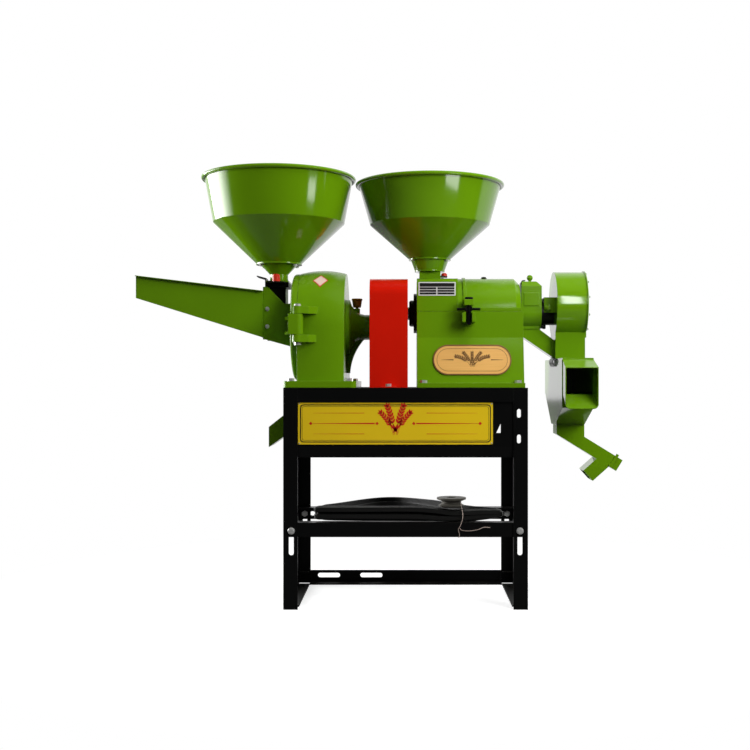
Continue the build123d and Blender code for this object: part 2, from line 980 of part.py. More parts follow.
def bearing_arm():
    """Bell-shaped arm that carries the crusher shaft, with a web to its foot."""
    left = crusher_back
    bell = [
        (left, 0),
        (left, arm_flange_radius),
        (left + arm_length * 0.14, arm_flange_radius),
        (left + arm_length * 0.22, arm_flange_radius * 0.78),
        (left + arm_length * 0.36, arm_neck_radius * 1.36),
        (left + arm_length * 0.55, arm_neck_radius * 1.1),
        (left + arm_length * 0.75, arm_neck_radius),
        (arm_end, arm_neck_radius),
        (arm_end, 0),
    ]
    arm = turned_x(bell, crusher_axis)
    near = (arm_end - bearing_width, -arm_web_thick / 2, crusher_axis - arm_neck_radius + fuse_depth)
    toe = (left + arm_web_toe, near[1], crusher_axis - arm_web_drop)
    hollow = (left + arm_length * arm_web_hollow, near[1], (near[2] + toe[2]) / 2)
    web = make_face([
        Polyline(toe, (left, near[1], toe[2]), (left, near[1], crusher_axis), near),
        ThreePointArc(near, hollow, toe),
    ])
    web = extrude(web, amount=arm_web_thick, dir=(0, 1, 0))
    boss_x = left + grease_x
    boss = rod_z((crusher_axis, crusher_axis + grease_boss_height), grease_boss_radius, boss_x)
    arm += web + boss
    arm -= rod_x((left - 1, arm_end + 1), crusher_shaft_radius + loose_gap, crusher_axis)
    for x in crusher_bearing_places():
        arm -= rod_x((x, x + bearing_width), bearing_radius + press_gap, crusher_axis)
    arm -= rod_x((left - 1, left + face_gap), bearing_radius + press_gap, crusher_axis)
    arm -= rod_x((arm_end - face_gap, arm_end + 1), bearing_radius + press_gap, crusher_axis)
    arm -= rod_z(
        (crusher_axis + bearing_radius, crusher_axis + grease_boss_height + 1),
        grease_stem_radius + running_gap,
        boss_x,
    )
    return arm


def crusher_bearing_places():
    return crusher_back + face_gap, arm_end - face_gap - bearing_width


def bearing(left, width, radius, shaft, height):
    """Ring bearing with a shallow groove each side, between its races."""
    ring = rod_x((left, left + width), radius, height) - rod_x(
        (left - 1, left + width + 1), shaft + running_gap, height
    )
    middle = (radius + shaft) / 2
    groove = (radius - shaft) * 0.2
    for side in (left, left + width - groove):
        ring -= rod_x(
            (side, side + groove), middle + groove, height
        ) - rod_x((side, side + groove), middle - groove, height)
    return ring


def crusher_shaft():
    return rod_x(
        (rotor_face - shaft_nut_height - shaft_tail, crusher_pulley_left + pulley_width),
        crusher_shaft_radius,
        crusher_axis,
    )


def tooth(face_x, way, z, y, angle, radial, along, length):
    """Tapered claw tooth standing on a disc."""
    radial_way = (0, math.cos(angle), math.sin(angle))
    plane = Plane(origin=(face_x, y, z), x_dir=radial_way, z_dir=(way, 0, 0))
    return extrude(plane * Rectangle(radial, along), amount=length, taper=tooth_taper)


def rotor_disc():
    """Rotor disc with rings of claw teeth facing the door."""
    disc = rod_x((rotor_face, rotor_face + rotor_thick), rotor_radius, crusher_axis)
    disc += rod_x((rotor_face, rotor_face + rotor_hub_length), rotor_hub_radius, crusher_axis)
    for radius, count in zip(rotor_ring_radii, rotor_tooth_counts):
        for z, y, angle in ring_points(crusher_axis, radius, count):
            disc += tooth(rotor_face, -1, z, y, angle, tooth_radial, tooth_along, tooth_length)
    nut_plane = Plane((rotor_face, 0, crusher_axis), z_dir=(-1, 0, 0))
    disc += extrude(nut_plane * RegularPolygon(shaft_nut_radius, 6), amount=shaft_nut_height)
    reach = (rotor_face - shaft_nut_height - 1, rotor_face + rotor_hub_length + 1)
    return disc - rod_x(reach, crusher_shaft_radius + press_gap, crusher_axis)


def stator_plate():
    """Fixed tooth plate on the inside of the door, open at its middle for the feed."""
    plate_right = door_inner + stator_thick
    plate = rod_x((door_inner, plate_right), stator_radius, crusher_axis)
    for radius, count in zip(stator_ring_radii, stator_tooth_counts):
        for z, y, angle in ring_points(crusher_axis, radius, count, 180 / count):
            plate += tooth(plate_right, 1, z, y, angle, tooth_radial, tooth_along, tooth_length)
    return plate - rod_x((door_inner - 1, plate_right + 1), feed_hole_radius, crusher_axis)


def crusher_door():
    door = rod_x((door_outer, door_inner), door_radius, crusher_axis)
    door = fillet(door.faces().sort_by(Axis.X)[0].edges(), door_rim)
    low = crusher_axis - hinge_block_height / 2
    high = crusher_axis + hinge_block_height / 2
    arm = prism_z(
        [
            (door_outer + door_rim, -crusher_edge + door_rim * 2),
            (door_outer, hinge_y - hinge_barrel_radius),
            (hinge_x, hinge_y - hinge_barrel_radius),
            (hinge_x, hinge_y),
            (door_inner - face_gap, hinge_y + hinge_barrel_radius),
            (door_inner - face_gap, -crusher_edge + door_rim * 2),
        ],
        (low, high),
    )
    door += hinge_barrel(low, high, hinge_barrel_radius) + arm
    half = clamp_lug_width / 2
    lug = block(
        (door_outer, door_inner),
        (crusher_edge - clamp_lug_root, clamp_y()),
        (crusher_axis - half, crusher_axis + half),
    )
    lug += rod_x((door_outer, door_inner), half, crusher_axis, clamp_y())
    door += lug
    for side in (-1, 1):
        middle = crusher_axis + side * door_rib_spacing / 2
        rib = prism_z(
            [
                (door_outer + fuse_depth, -door_radius + door_rim * 2),
                (door_outer - door_rib_height, -inlet_half_width - door_rib_run),
                (door_outer - door_rib_height, -inlet_half_width - face_gap),
                (door_outer + fuse_depth, -inlet_half_width - face_gap),
            ],
            (middle - door_rib_thick / 2, middle + door_rib_thick / 2),
        )
        door += rib
    door -= rod_x((door_outer - 1, door_inner + 1), feed_hole_radius, crusher_axis)
    door -= hinge_barrel(low - 1, high + 1, hinge_pin_radius + running_gap)
    return door - rod_x(
        (door_outer - 1, door_inner + 1),
        clamp_screw_radius + running_gap,
        crusher_axis,
        clamp_y(),
    )


def door_clamp_screw():
    """Hand screw with a lobed knob, carried in the door's lug."""
    knob_right = door_outer - face_gap
    knob_left = knob_right - clamp_knob_thick
    tip = crusher_face + clamp_lug_setback + clamp_entry
    knob = rod_x((knob_left, knob_right), clamp_knob_radius * 0.7, crusher_axis, clamp_y())
    for z, y, angle in ring_points(crusher_axis, clamp_knob_radius * 0.66, 3):
        knob += rod_x((knob_left, knob_right), clamp_knob_radius * 0.34, z, y + clamp_y())
    return knob + rod_x((knob_right, tip), clamp_screw_radius, crusher_axis, clamp_y())


def grease_cup():
    """Screw-down grease cup: stem, base and a capped cup."""
    x = crusher_back + grease_x
    seat = crusher_axis + grease_boss_height + face_gap
    top = seat + grease_cup_height
    radius = grease_cup_radius
    profile = [
        (0, seat - grease_stem_length),
        (grease_stem_radius, seat - grease_stem_length),
        (grease_stem_radius, seat),
        (radius * 0.7, seat),
        (radius * 0.7, seat + grease_foot),
        (radius, seat + grease_foot + grease_chamfer),
        (radius, top - grease_chamfer),
        (radius * 0.7, top),
        (0, top),
    ]
    return turned_z(profile, x)


crusher_bearings = [
    bearing(
        x,
        bearing_width,
        bearing_radius,
        crusher_shaft_radius,
        crusher_axis,
    ) for x in crusher_bearing_places()
]
pieces["crusher_housing"] = crusher_housing()
pieces["door_hinge_pin"] = hinge_pin()
pieces["sieve_ring"] = sieve_ring()
pieces["crusher_bearing_arm"] = bearing_arm()
pieces["crusher_shaft"] = crusher_shaft()
pieces["rotor_disc"] = rotor_disc()
pieces["stator_plate"] = stator_plate()
pieces["crusher_door"] = crusher_door()
pieces["door_clamp_screw"] = door_clamp_screw()
pieces["grease_cup"] = grease_cup()
crusher_wheel = pulley(
    crusher_pulley_left,
    crusher_pulley_radius,
    crusher_shaft_radius + press_gap,
    crusher_axis,
    groove_count,
)
pieces["crusher_pulley"] = crusher_wheel - pulley_recess(
    crusher_pulley_left, crusher_pulley_radius, crusher_axis
)


# Feed side, carried by the crusher door
neck_x = (feed_hopper_x - neck_half_length, feed_hopper_x + neck_half_length)
inlet_top = crusher_axis + inlet_top_rise
inlet_shoulder_z = crusher_axis + inlet_shoulder_rise
gate_room = (inlet_left - guide_depth, inlet_left)
trough_right = inlet_left - guide_depth


def feed_inlet():
    """Cast box on the door: grain comes from the trough or from the neck above."""
    outline = [
        (inlet_left, crusher_axis - inlet_drop_left),
        (door_outer, crusher_axis - inlet_drop_right),
        (door_outer, inlet_shoulder_z),
        (door_outer - inlet_shoulder, inlet_shoulder_z),
        (inlet_left + inlet_wall, inlet_top),
        (inlet_left, inlet_top),
    ]
    box = duct_y(outline, (-inlet_half_width, inlet_half_width), inlet_wall)
    mouth = trough_gate_half_width - inlet_wall
    box -= block((inlet_left - 1, inlet_left + inlet_wall + 1), (-mouth, mouth), gate_mouth())
    box -= rod_x((door_outer - inlet_wall - 1, door_outer + 1), feed_hole_radius, crusher_axis)
    inside = neck_half_width - neck_wall
    box -= block(
        (neck_x[0] + neck_wall, neck_x[1] - neck_wall), (-inside, inside), (crusher_axis, inlet_top + 1)
    )
    for side in (-1, 1):
        near = trough_gate_half_width + face_gap
        guide = block(
            gate_room,
            sorted((side * near, side * inlet_half_width)),
            (crusher_axis - inlet_drop_left, inlet_top),
        )
        box += guide
    return box


def gate_mouth():
    return crusher_axis - inlet_drop_left + inlet_wall * 2, inlet_top - inlet_wall * 4


def inlet_slope(x):
    """Height of the inlet's slanting top at a given X."""
    left = inlet_left + inlet_wall
    right = door_outer - inlet_shoulder
    if x >= right:
        return inlet_shoulder_z
    return inlet_top + (inlet_shoulder_z - inlet_top) * (x - left) / (right - left)


def inlet_neck():
    """Black neck that stands on the inlet's slanting top, with the gate plate above."""
    corner = door_outer - inlet_shoulder
    foot = [(neck_x[0], inlet_slope(neck_x[0])), (corner, inlet_shoulder_z), (neck_x[1], inlet_shoulder_z)]
    if neck_x[1] <= corner:
        foot = [(neck_x[0], inlet_slope(neck_x[0])), (neck_x[1], inlet_slope(neck_x[1]))]
    neck = prism_y(
        foot + [(neck_x[1], inlet_top), (neck_x[0], inlet_top)], (-neck_half_width, neck_half_width)
    )
    plate_x = (feed_hopper_x - plate_half_length, feed_hopper_x + plate_half_length)
    neck += block(plate_x, (-plate_half_width, plate_half_width), (inlet_top, plate_top))
    for side in plate_x:
        inward = side + math.copysign(guide_width, feed_hopper_x - side)
        neck += block(
            sorted((side, inward)), (-plate_half_width, plate_half_width), (plate_top, collar_level)
        )
    inside = neck_half_width - neck_wall
    hole = (neck_x[0] + neck_wall, neck_x[1] - neck_wall)
    return neck - block(hole, (-inside, inside), (inlet_shoulder_z - 1, plate_top + 1))


def feed_gate():
    """Slide plate under the feed hopper with a red knob at its front end."""
    half = plate_half_length - guide_width - face_gap
    front = -plate_half_width - feed_gate_reach
    plate = block(
        (feed_hopper_x - half, feed_hopper_x + half),
        (front, front + feed_gate_length),
        (feed_gate_level, feed_gate_level + gate_thick),
    )
    knob_y = front + feed_gate_knob_radius * 1.2
    low = feed_gate_level + gate_thick
    knob = rod_z((low, low + feed_gate_knob_height), feed_gate_knob_radius, feed_hopper_x, knob_y)
    return plate + fillet(knob.faces().sort_by(Axis.Z)[-1].edges(), feed_gate_knob_radius * 0.6)


def trough_gate():
    """Upright shutter between trough and inlet, with a bent lip to lift it by."""
    middle = (gate_room[0] + gate_room[1]) / 2
    across = (middle - gate_thick / 2, middle + gate_thick / 2)
    top = crusher_axis + trough_gate_top_rise
    shutter = block(
        across, (-trough_gate_half_width, trough_gate_half_width), (top - trough_gate_height, inlet_top)
    )
    grip = trough_gate_half_width / 2
    shutter += block(across, (-grip, grip), (inlet_top, top))
    lip = [
        (across[1], top),
        (across[0] - trough_gate_lip, top + trough_gate_lip * 0.3),
        (across[0] - trough_gate_lip, top + trough_gate_lip * 0.3 - gate_thick),
        (across[0], top - gate_thick),
    ]
    return shutter + prism_y(lip, (-grip, grip))


def trough_section(x, half, bottom, top):
    return [(x, -half, bottom), (x, half, bottom), (x, half, top), (x, -half, top)]


def trough_at(share):
    """Half width, floor and brim of the trough, from its gate (0) to its far end (1)."""
    pairs = (
        (trough_near_half_width, trough_far_half_width),
        (crusher_axis + trough_near_bottom, crusher_axis + trough_far_bottom),
        (crusher_axis + trough_near_top, crusher_axis + trough_far_top),
    )
    return [near + (far - near) * share for near, far in pairs]


def feed_trough():
    """Open tray that narrows towards the gate, its brim folded outwards."""
    ends = []
    for share in (0, 1):
        half, floor, brim = trough_at(share)
        ends.append((trough_right - trough_length * share, half, floor, brim))
    outside = loft_rectangles(*[trough_section(*end) for end in ends])
    inside = loft_rectangles(*[
        trough_section(
            x,
            half - trough_sheet,
            floor + trough_sheet,
            brim + trough_length,
        ) for x, half, floor, brim in ends
    ])
    hem = loft_rectangles(*[
        trough_section(x, half + trough_hem, brim - trough_sheet, brim) for x, half, floor, brim in ends
    ])
    far_half, far_floor, far_brim = trough_at(1)
    far_x = trough_right - trough_length
    end_wall = block((far_x, far_x + trough_sheet), (-far_half, far_half), (far_floor, far_brim))
    near_half, near_floor, near_brim = trough_at(0)
    flange = block(
        (trough_right - trough_sheet, trough_right), (-near_half, near_half), (near_floor, near_brim)
    )
    mouth = trough_gate_half_width - inlet_wall
    low = max(gate_mouth()[0], near_floor + trough_sheet * 3)
    flange -= block(
        (trough_right - trough_sheet - 1, trough_right + 1), (-mouth, mouth), (low, near_brim + 1)
    )
    return (outside + hem - inside) + end_wall + flange


def hopper(x, level, foot, crease, band, rim, cone_height, band_height):
    """Spun sheet hopper: cone, upright band and a rolled brim."""
    top = level + cone_height + band_height
    outer = [(foot, level), (crease, level + cone_height), (band, top - hopper_bead)]
    inner = [(radius - hopper_sheet, z) for radius, z in reversed(outer)]
    shell = turned_z(outer + inner, x)
    brim = Pos(x, 0, top - hopper_bead) * Torus(rim - hopper_bead, hopper_bead)
    lip = turned_z(
        [
            (band - hopper_sheet, top - hopper_bead - hopper_sheet),
            (rim - hopper_bead, top - hopper_bead - hopper_sheet),
            (rim - hopper_bead, top - hopper_bead + hopper_sheet),
            (band - hopper_sheet, top - hopper_bead + hopper_sheet),
        ],
        x,
    )
    return shell + lip + brim


def feed_collar():
    """Funnel under the feed hopper, standing on the gate's guides."""
    low = collar_level + collar_flange_thick
    bend = low + feed_collar_neck
    top = bend + feed_collar_cone
    throat = feed_collar_throat
    outer = [
        (throat, low),
        (throat, bend),
        (feed_collar_top, top),
        (feed_hopper_foot, top),
        (feed_hopper_foot, feed_hopper_level),
    ]
    inner = [
        (feed_collar_top - hopper_sheet, feed_hopper_level),
        (feed_collar_top - hopper_sheet, top),
        (throat - hopper_sheet, bend),
        (throat - hopper_sheet, low),
    ]
    funnel = turned_z(outer + inner, feed_hopper_x)
    foot = block(
        (feed_hopper_x - plate_half_length, feed_hopper_x + plate_half_length),
        (-plate_half_width, plate_half_width),
        (collar_level, low),
    )
    return funnel + foot - rod_z((collar_level - 1, low + 1), throat - hopper_sheet, feed_hopper_x)


def mill_collar():
    """Square neck on the lid that opens into a round funnel."""
    half = mill_neck_side / 2
    neck = block((mill_hopper_x - half, mill_hopper_x + half), (-half, half), (lid_top, mill_neck_top))
    top = mill_neck_top + collar_flange_thick
    brim = top + mill_collar_cone
    outer = [
        (0, mill_neck_top),
        (mill_collar_throat + hopper_flange, mill_neck_top),
        (mill_collar_throat + hopper_flange, top),
        (mill_hopper_foot - hopper_flange, brim),
        (mill_hopper_foot, brim),
        (mill_hopper_foot, mill_hopper_level),
        (0, mill_hopper_level),
    ]
    bore = half - mill_neck_wall
    mouth = mill_hopper_foot - hopper_flange - hopper_sheet
    above = mill_hopper_level + 1
    inner = [(0, top), (bore, top), (mouth, brim), (mouth, above), (0, above)]
    collar = neck + turned_z(outer, mill_hopper_x) - turned_z(inner, mill_hopper_x)
    collar -= block(
        (mill_hopper_x - bore, mill_hopper_x + bore), (-bore, bore), (lid_top - 1, mill_neck_top)
    )
    collar -= rod_z((mill_neck_top - 1, top + 1), bore, mill_hopper_x)
    level = lid_top + mill_gate_rise
    slot = block(
        (mill_hopper_x, mill_hopper_x + mill_neck_side),
        (-bore, bore),
        (level - face_gap, level + gate_thick + face_gap),
    )
    return collar - slot


def mill_gate():
    """Slide plate in the square neck with a red-capped knob at its right end."""
    half = mill_neck_side / 2 - mill_neck_wall - face_gap
    level = lid_top + mill_gate_rise
    left = mill_hopper_x - half
    plate = block((left, left + mill_gate_length), (-half, half), (level, level + gate_thick))
    knob_x = left + mill_gate_length - mill_gate_knob_radius
    plate += block(
        (left + mill_gate_length - 1, knob_x + mill_gate_knob_radius * 2),
        (-half / 2, half / 2),
        (level, level + gate_thick),
    )
    low = level + gate_thick
    knob = rod_z((low, low + mill_gate_knob_height), mill_gate_knob_radius, knob_x + mill_gate_knob_radius)
    return plate + fillet(knob.faces().sort_by(Axis.Z)[-1].edges(), mill_gate_knob_radius * 0.6)


def discharge_chute():
    """Sheet chute from the crusher's mouth, slanting out past the left legs."""
    left = crusher_centre - crusher_mouth_length / 2
    right = crusher_centre + crusher_mouth_length / 2
    end_x = -half_length - chute_reach
    end_top = table_height - chute_end_top
    outline = [
        (left, table_height),
        (right, table_height),
        (right, table_height - chute_throat),
        (end_x, end_top - chute_end_height),
        (end_x, end_top),
        (left, table_height - chute_throat),
    ]
    chute = duct_y(outline, (-chute_half_width, chute_half_width), chute_sheet)
    inside = chute_half_width - chute_sheet
    chute -= block(
        (left + chute_sheet, right - chute_sheet),
        (-inside, inside),
        (table_height - chute_throat, table_height + 1),
    )
    mouth = [
        (end_x - 1, end_top - chute_end_height + chute_sheet * 1.6),
        (end_x + chute_sheet * 3, end_top - chute_end_height + chute_sheet * 4.2),
        (end_x + chute_sheet * 3, end_top - chute_sheet * 0.2),
        (end_x - 1, end_top - chute_sheet * 1.6),
    ]
    return chute - prism_y(mouth, (-inside, inside))


pieces["feed_inlet"] = feed_inlet()
pieces["inlet_neck"] = inlet_neck()
pieces["feed_gate"] = feed_gate()
pieces["trough_gate"] = trough_gate()
pieces["feed_trough"] = feed_trough()
pieces["feed_collar"] = feed_collar()
pieces["feed_hopper"] = hopper(
    feed_hopper_x, feed_hopper_level, feed_hopper_foot, feed_hopper_crease, feed_hopper_band,
    feed_hopper_rim, feed_hopper_cone_height, feed_hopper_band_height,
)
pieces["mill_collar"] = mill_collar()
pieces["mill_gate"] = mill_gate()
pieces["mill_hopper"] = hopper(
    mill_hopper_x, mill_hopper_level, mill_hopper_foot, mill_hopper_crease, mill_hopper_band,
    mill_hopper_rim, mill_hopper_cone_height, mill_hopper_band_height,
)
pieces["discharge_chute"] = discharge_chute()


# Belt guard
def guard_shell(inset_by):
    half = guard_half_depth - inset_by
    height = guard_height - inset_by
    outline = Pos(0, height / 2) * Rectangle(2 * half, height)
    corners = outline.vertices().sort_by(Axis.Y)[-2:]
    outline = fillet(corners, guard_corner - inset_by)
    plane = Plane((guard_left + inset_by, 0, table_height), x_dir=(0, 1, 0), z_dir=(1, 0, 0))
    return extrude(plane * outline, amount=guard_length - 2 * inset_by)


def shaft_gate(x, height, half):
    """Cutter for a slot that lets the guard drop over a shaft."""
    through = (x - 2 * guard_sheet, x + 2 * guard_sheet)
    return block(through, (-half, half), (table_height - 1, height)) + rod_x(through, half, height)


def belt_guard():
    """Inverted box of red sheet over both pulleys, slotted for the shafts."""
    shell = guard_shell(0) - guard_shell(guard_sheet)
    inside = (guard_left + guard_sheet, guard_right - guard_sheet)
    shell -= block(
        inside,
        (guard_sheet - guard_half_depth, guard_half_depth - guard_sheet),
        (table_height - 1, table_height + guard_foot_thick),
    )
    shell -= shaft_gate(guard_left, crusher_axis, guard_slot)
    shell -= shaft_gate(guard_right, mill_axis, guard_slot)
    middle = (guard_left + guard_right) / 2
    for side in (-1, 1):
        reach = sorted((side * guard_half_depth, side * (guard_half_depth + guard_foot)))
        shell += block(
            (middle - guard_foot_half, middle + guard_foot_half),
            reach,
            (table_height, table_height + guard_foot_thick),
        )
    return shell - bolt_holes(
        guard_bolts, guard_bolt_radius, (table_height - 1, table_height + guard_foot_thick + 1)
    )


pieces["belt_guard"] = belt_guard()


# Mill body, lid and what turns inside
def knuckle(x, centre_z, own_low, own_high):
    """Hinge knuckle with the web that joins it to its half of the casing."""
    barrel = rod_x(x, lid_knuckle_radius, centre_z, lid_pin_y)
    return barrel + block(x, (mill_half_depth - lug_root, lid_pin_y), (own_low, own_high))


def lid_knuckle_spans():
    return [(mill_left + start, mill_left + start + lid_knuckle_length) for start in lid_knuckle_insets]


def body_knuckle_spans():
    spans = []
    for low, high in lid_knuckle_spans():
        spans.append((low - face_gap - lid_knuckle_length * 0.6, low - face_gap))
        spans.append((high + face_gap, high + face_gap + lid_knuckle_length * 0.6))
    return spans


def mill_body():
    """Flared casting: lower half of the milling chamber over the bran opening."""
    top = mill_axis - face_gap / 2
    knee = table_height + mill_knee
    foot = table_height + mill_foot_thick
    outline = [
        (-mill_foot_half_depth, table_height),
        (mill_foot_half_depth, table_height),
        (mill_foot_half_depth, foot),
        (mill_base_half_depth, foot),
        (mill_half_depth, knee),
        (mill_half_depth, top),
        (-mill_half_depth, top),
        (-mill_half_depth, knee),
        (-mill_base_half_depth, foot),
        (-mill_foot_half_depth, foot),
    ]
    body = prism_x(outline, (mill_left, mill_right))
    for span in body_knuckle_spans():
        body += knuckle(span, mill_axis, mill_axis - lid_knuckle_radius, top)
    body += body_lug()
    body -= rod_x((mill_left + mill_wall, mill_right - mill_wall), mill_bore, mill_axis)
    body -= rod_x((mill_left - 1, mill_right), mill_shaft_radius + loose_gap, mill_axis)
    body -= rod_x((mill_right - mill_wall - 1, mill_right + 1), outlet_bore, mill_axis)
    bran_right = mill_right - bran_inset
    body -= block(
        (bran_right - bran_length, bran_right),
        (-bran_half_depth, bran_half_depth),
        (table_height - 1, mill_axis - mill_bore * 0.6),
    )
    body -= bolt_holes(mill_bolts, base_bolt_radius, (table_height - 1, foot + 1))
    body -= rod_x((mill_left, mill_right), lid_pin_radius + press_gap, mill_axis, lid_pin_y)
    return body - knife_groove()


def knife_span():
    return roller_left + loose_gap, roller_left + roller_length - knife_end_inset


def knife_level():
    return mill_axis - knife_thick - 2


def knife_groove():
    near = mill_bore * 0.8
    reach = (near, roller_radius + knife_reach + knife_depth + face_gap)
    x = knife_span()
    low = knife_level()
    return block((x[0] - face_gap, x[1] + face_gap), reach, (low - face_gap, mill_axis))


def rice_knife():
    """Straight blade that meets the roller from the back of the chamber."""
    near = roller_radius + knife_reach
    low = knife_level()
    blade = [
        (near, low + knife_thick * 0.3),
        (near + knife_thick * 0.4, low),
        (near + knife_depth, low),
        (near + knife_depth, low + knife_thick),
        (near, low + knife_thick),
    ]
    return prism_x(blade, knife_span())


def body_lug():
    """Forked lug on the front that the clamp screw drops into."""
    half = body_lug_width / 2
    front = lid_clamp_y - lid_clamp_radius - lid_clamp_edge
    z = (mill_axis + body_lug_low, mill_axis + body_lug_high)
    lug = block((lid_clamp_x - half, lid_clamp_x + half), (front, -mill_half_depth + fuse_depth), z)
    slot = lid_clamp_radius + loose_gap
    mouth = block((lid_clamp_x - slot, lid_clamp_x + slot), (front - 1, lid_clamp_y), (z[0] - 1, z[1] + 1))
    return lug - mouth - rod_z((z[0] - 1, z[1] + 1), slot, lid_clamp_x, lid_clamp_y)


def mill_lid():
    """Hinged lid: a square feed end and a barrel over the roller."""
    low = mill_axis + face_gap / 2
    box_right = mill_left + lid_box_length
    right = mill_right - lid_end_gap
    box = block((mill_left, box_right), (-mill_half_depth, mill_half_depth), (low, lid_top))
    box = fillet(box.edges().filter_by(Axis.X).sort_by(Axis.Z)[-2:], lid_corner)
    barrel = turned_x(
        [
            (box_right - 1, 0),
            (box_right - 1, lid_barrel_radius),
            (right - lid_chamfer, lid_barrel_radius),
            (right, lid_barrel_radius - lid_chamfer),
            (right, 0),
        ],
        mill_axis,
    )
    rib_left = box_right + lid_rib_inset
    rib = rod_x((rib_left, rib_left + lid_rib_width), lid_barrel_radius + lid_rib_proud, mill_axis)
    seam = block((box_right - 1, right), (-mill_half_depth, mill_half_depth), (low, low + lid_seam_height))
    lid = box + barrel + rib + seam
    lid -= block(
        (mill_left - 1, mill_right), (-2 * mill_half_depth, 2 * mill_half_depth), (table_height, low)
    )
    for span in lid_knuckle_spans():
        lid += knuckle(span, mill_axis, low, mill_axis + lid_knuckle_radius)
    lug_front = lid_clamp_y - lid_clamp_radius - lid_clamp_edge
    half = lid_lug_width / 2
    lid += block(
        (lid_clamp_x - half, lid_clamp_x + half),
        (lug_front, -lid_barrel_radius * 0.9),
        (mill_axis + lid_lug_low, mill_axis + lid_lug_high),
    )
    lid -= rod_x((mill_left + mill_wall, right - mill_wall), mill_bore, mill_axis)
    lid -= rod_x((mill_left - 1, mill_right), mill_shaft_radius + loose_gap, mill_axis)
    lid -= rod_x((right - mill_wall - 1, right + 1), outlet_bore, mill_axis)
    bore = mill_neck_side / 2 - mill_neck_wall
    lid -= block((mill_hopper_x - bore, mill_hopper_x + bore), (-bore, bore), (mill_axis, lid_top + 1))
    lid -= rod_x((mill_left, mill_right), lid_pin_radius + running_gap, mill_axis, lid_pin_y)
    return lid - rod_z(
        (mill_axis, mill_axis + lid_barrel_radius),
        lid_clamp_radius + running_gap,
        lid_clamp_x,
        lid_clamp_y,
    )


def lid_clamp_screw():
    """Captive screw in the lid's lug: cap, shank and a cross bar to turn it."""
    cap_low = mill_axis + lid_lug_high
    tip = mill_axis + body_lug_low - lid_clamp_tail
    screw = rod_z((tip, cap_low), lid_clamp_radius, lid_clamp_x, lid_clamp_y)
    cap = rod_z((cap_low, cap_low + lid_clamp_cap_height), lid_clamp_cap_radius, lid_clamp_x, lid_clamp_y)
    cap = fillet(cap.faces().sort_by(Axis.Z)[-1].edges(), lid_clamp_cap_height * 0.4)
    level = mill_axis + (lid_lug_low + body_lug_high) / 2
    half = lid_clamp_bar / 2
    bar = rod(
        (lid_clamp_x - half, lid_clamp_y, level),
        (lid_clamp_x + half, lid_clamp_y, level),
        lid_clamp_bar_radius,
    )
    collar = rod_z(
        (level - clamp_collar_half, level + clamp_collar_half),
        lid_clamp_radius + clamp_collar_wall,
        lid_clamp_x,
        lid_clamp_y,
    )
    return screw + cap + bar + collar


def lid_hinge_pin():
    spans = body_knuckle_spans()
    left = spans[0][0]
    pin = rod_x((left, spans[-1][1]), lid_pin_radius, mill_axis, lid_pin_y)
    head = rod_x((left - head_height, left), lid_pin_radius + lid_pin_head_edge, mill_axis, lid_pin_y)
    return pin + head


def mill_bearing_flange():
    """Black bearing flange on the left end of the mill."""
    left = mill_left - mill_flange_thick - mill_hub_length
    outline = [
        (left, mill_shaft_radius + loose_gap),
        (left, mill_hub_radius - mill_hub_chamfer),
        (left + mill_hub_chamfer, mill_hub_radius),
        (mill_left - mill_flange_thick, mill_hub_radius),
        (mill_left - mill_flange_thick, mill_flange_radius),
        (mill_left - face_gap, mill_flange_radius),
        (mill_left - face_gap, mill_shaft_radius + loose_gap),
    ]
    flange = turned_x(outline, mill_axis)
    return flange - rod_x(mill_bearing_span(), mill_bearing_radius + press_gap, mill_axis)


def mill_bearing_span():
    return mill_left - mill_flange_thick - mill_hub_length + mill_hub_wall, mill_left - face_gap - 1


def mill_shaft():
    left = mill_pulley_right - pulley_width - loose_gap
    return rod_x((left, fan_right - impeller_gap), mill_shaft_radius, mill_axis)


def mill_roller():
    """Feed screw and ribbed milling roll on one sleeve."""
    roll_right = roller_left + roller_length
    roll = rod_x((roller_left, roll_right), roller_core, mill_axis)
    for z, y, angle in ring_points(mill_axis, (roller_core + roller_radius) / 2, roller_ribs):
        rib = Box(roller_length, (roller_radius - roller_core) * 2, roller_rib_width)
        roll += Pos((roller_left + roll_right) / 2, y, z) * Rot(math.degrees(angle), 0, 0) * rib
    roll = roll & rod_x((roller_left, roll_right), roller_radius, mill_axis)
    roll += rod_x((screw_left, roller_left + 1), screw_core, mill_axis)
    path = Pos(screw_left + screw_thick, 0, mill_axis) * Rot(0, 90, 0) * Helix(
        screw_pitch, roller_left - screw_left - 2 * screw_thick, screw_core
    )
    start = path @ 0
    outward = Vector(0, start.Y, start.Z - mill_axis).normalized()
    depth = screw_radius - screw_core
    plane = Plane(origin=start + outward * ((depth - fuse_depth) / 2), x_dir=outward, z_dir=path % 0)
    flight = sweep(plane * Rectangle(depth + fuse_depth, screw_thick), path=path, is_frenet=True)
    roll += flight
    return roll - rod_x((screw_left - 1, roll_right + 1), mill_shaft_radius + press_gap, mill_axis)


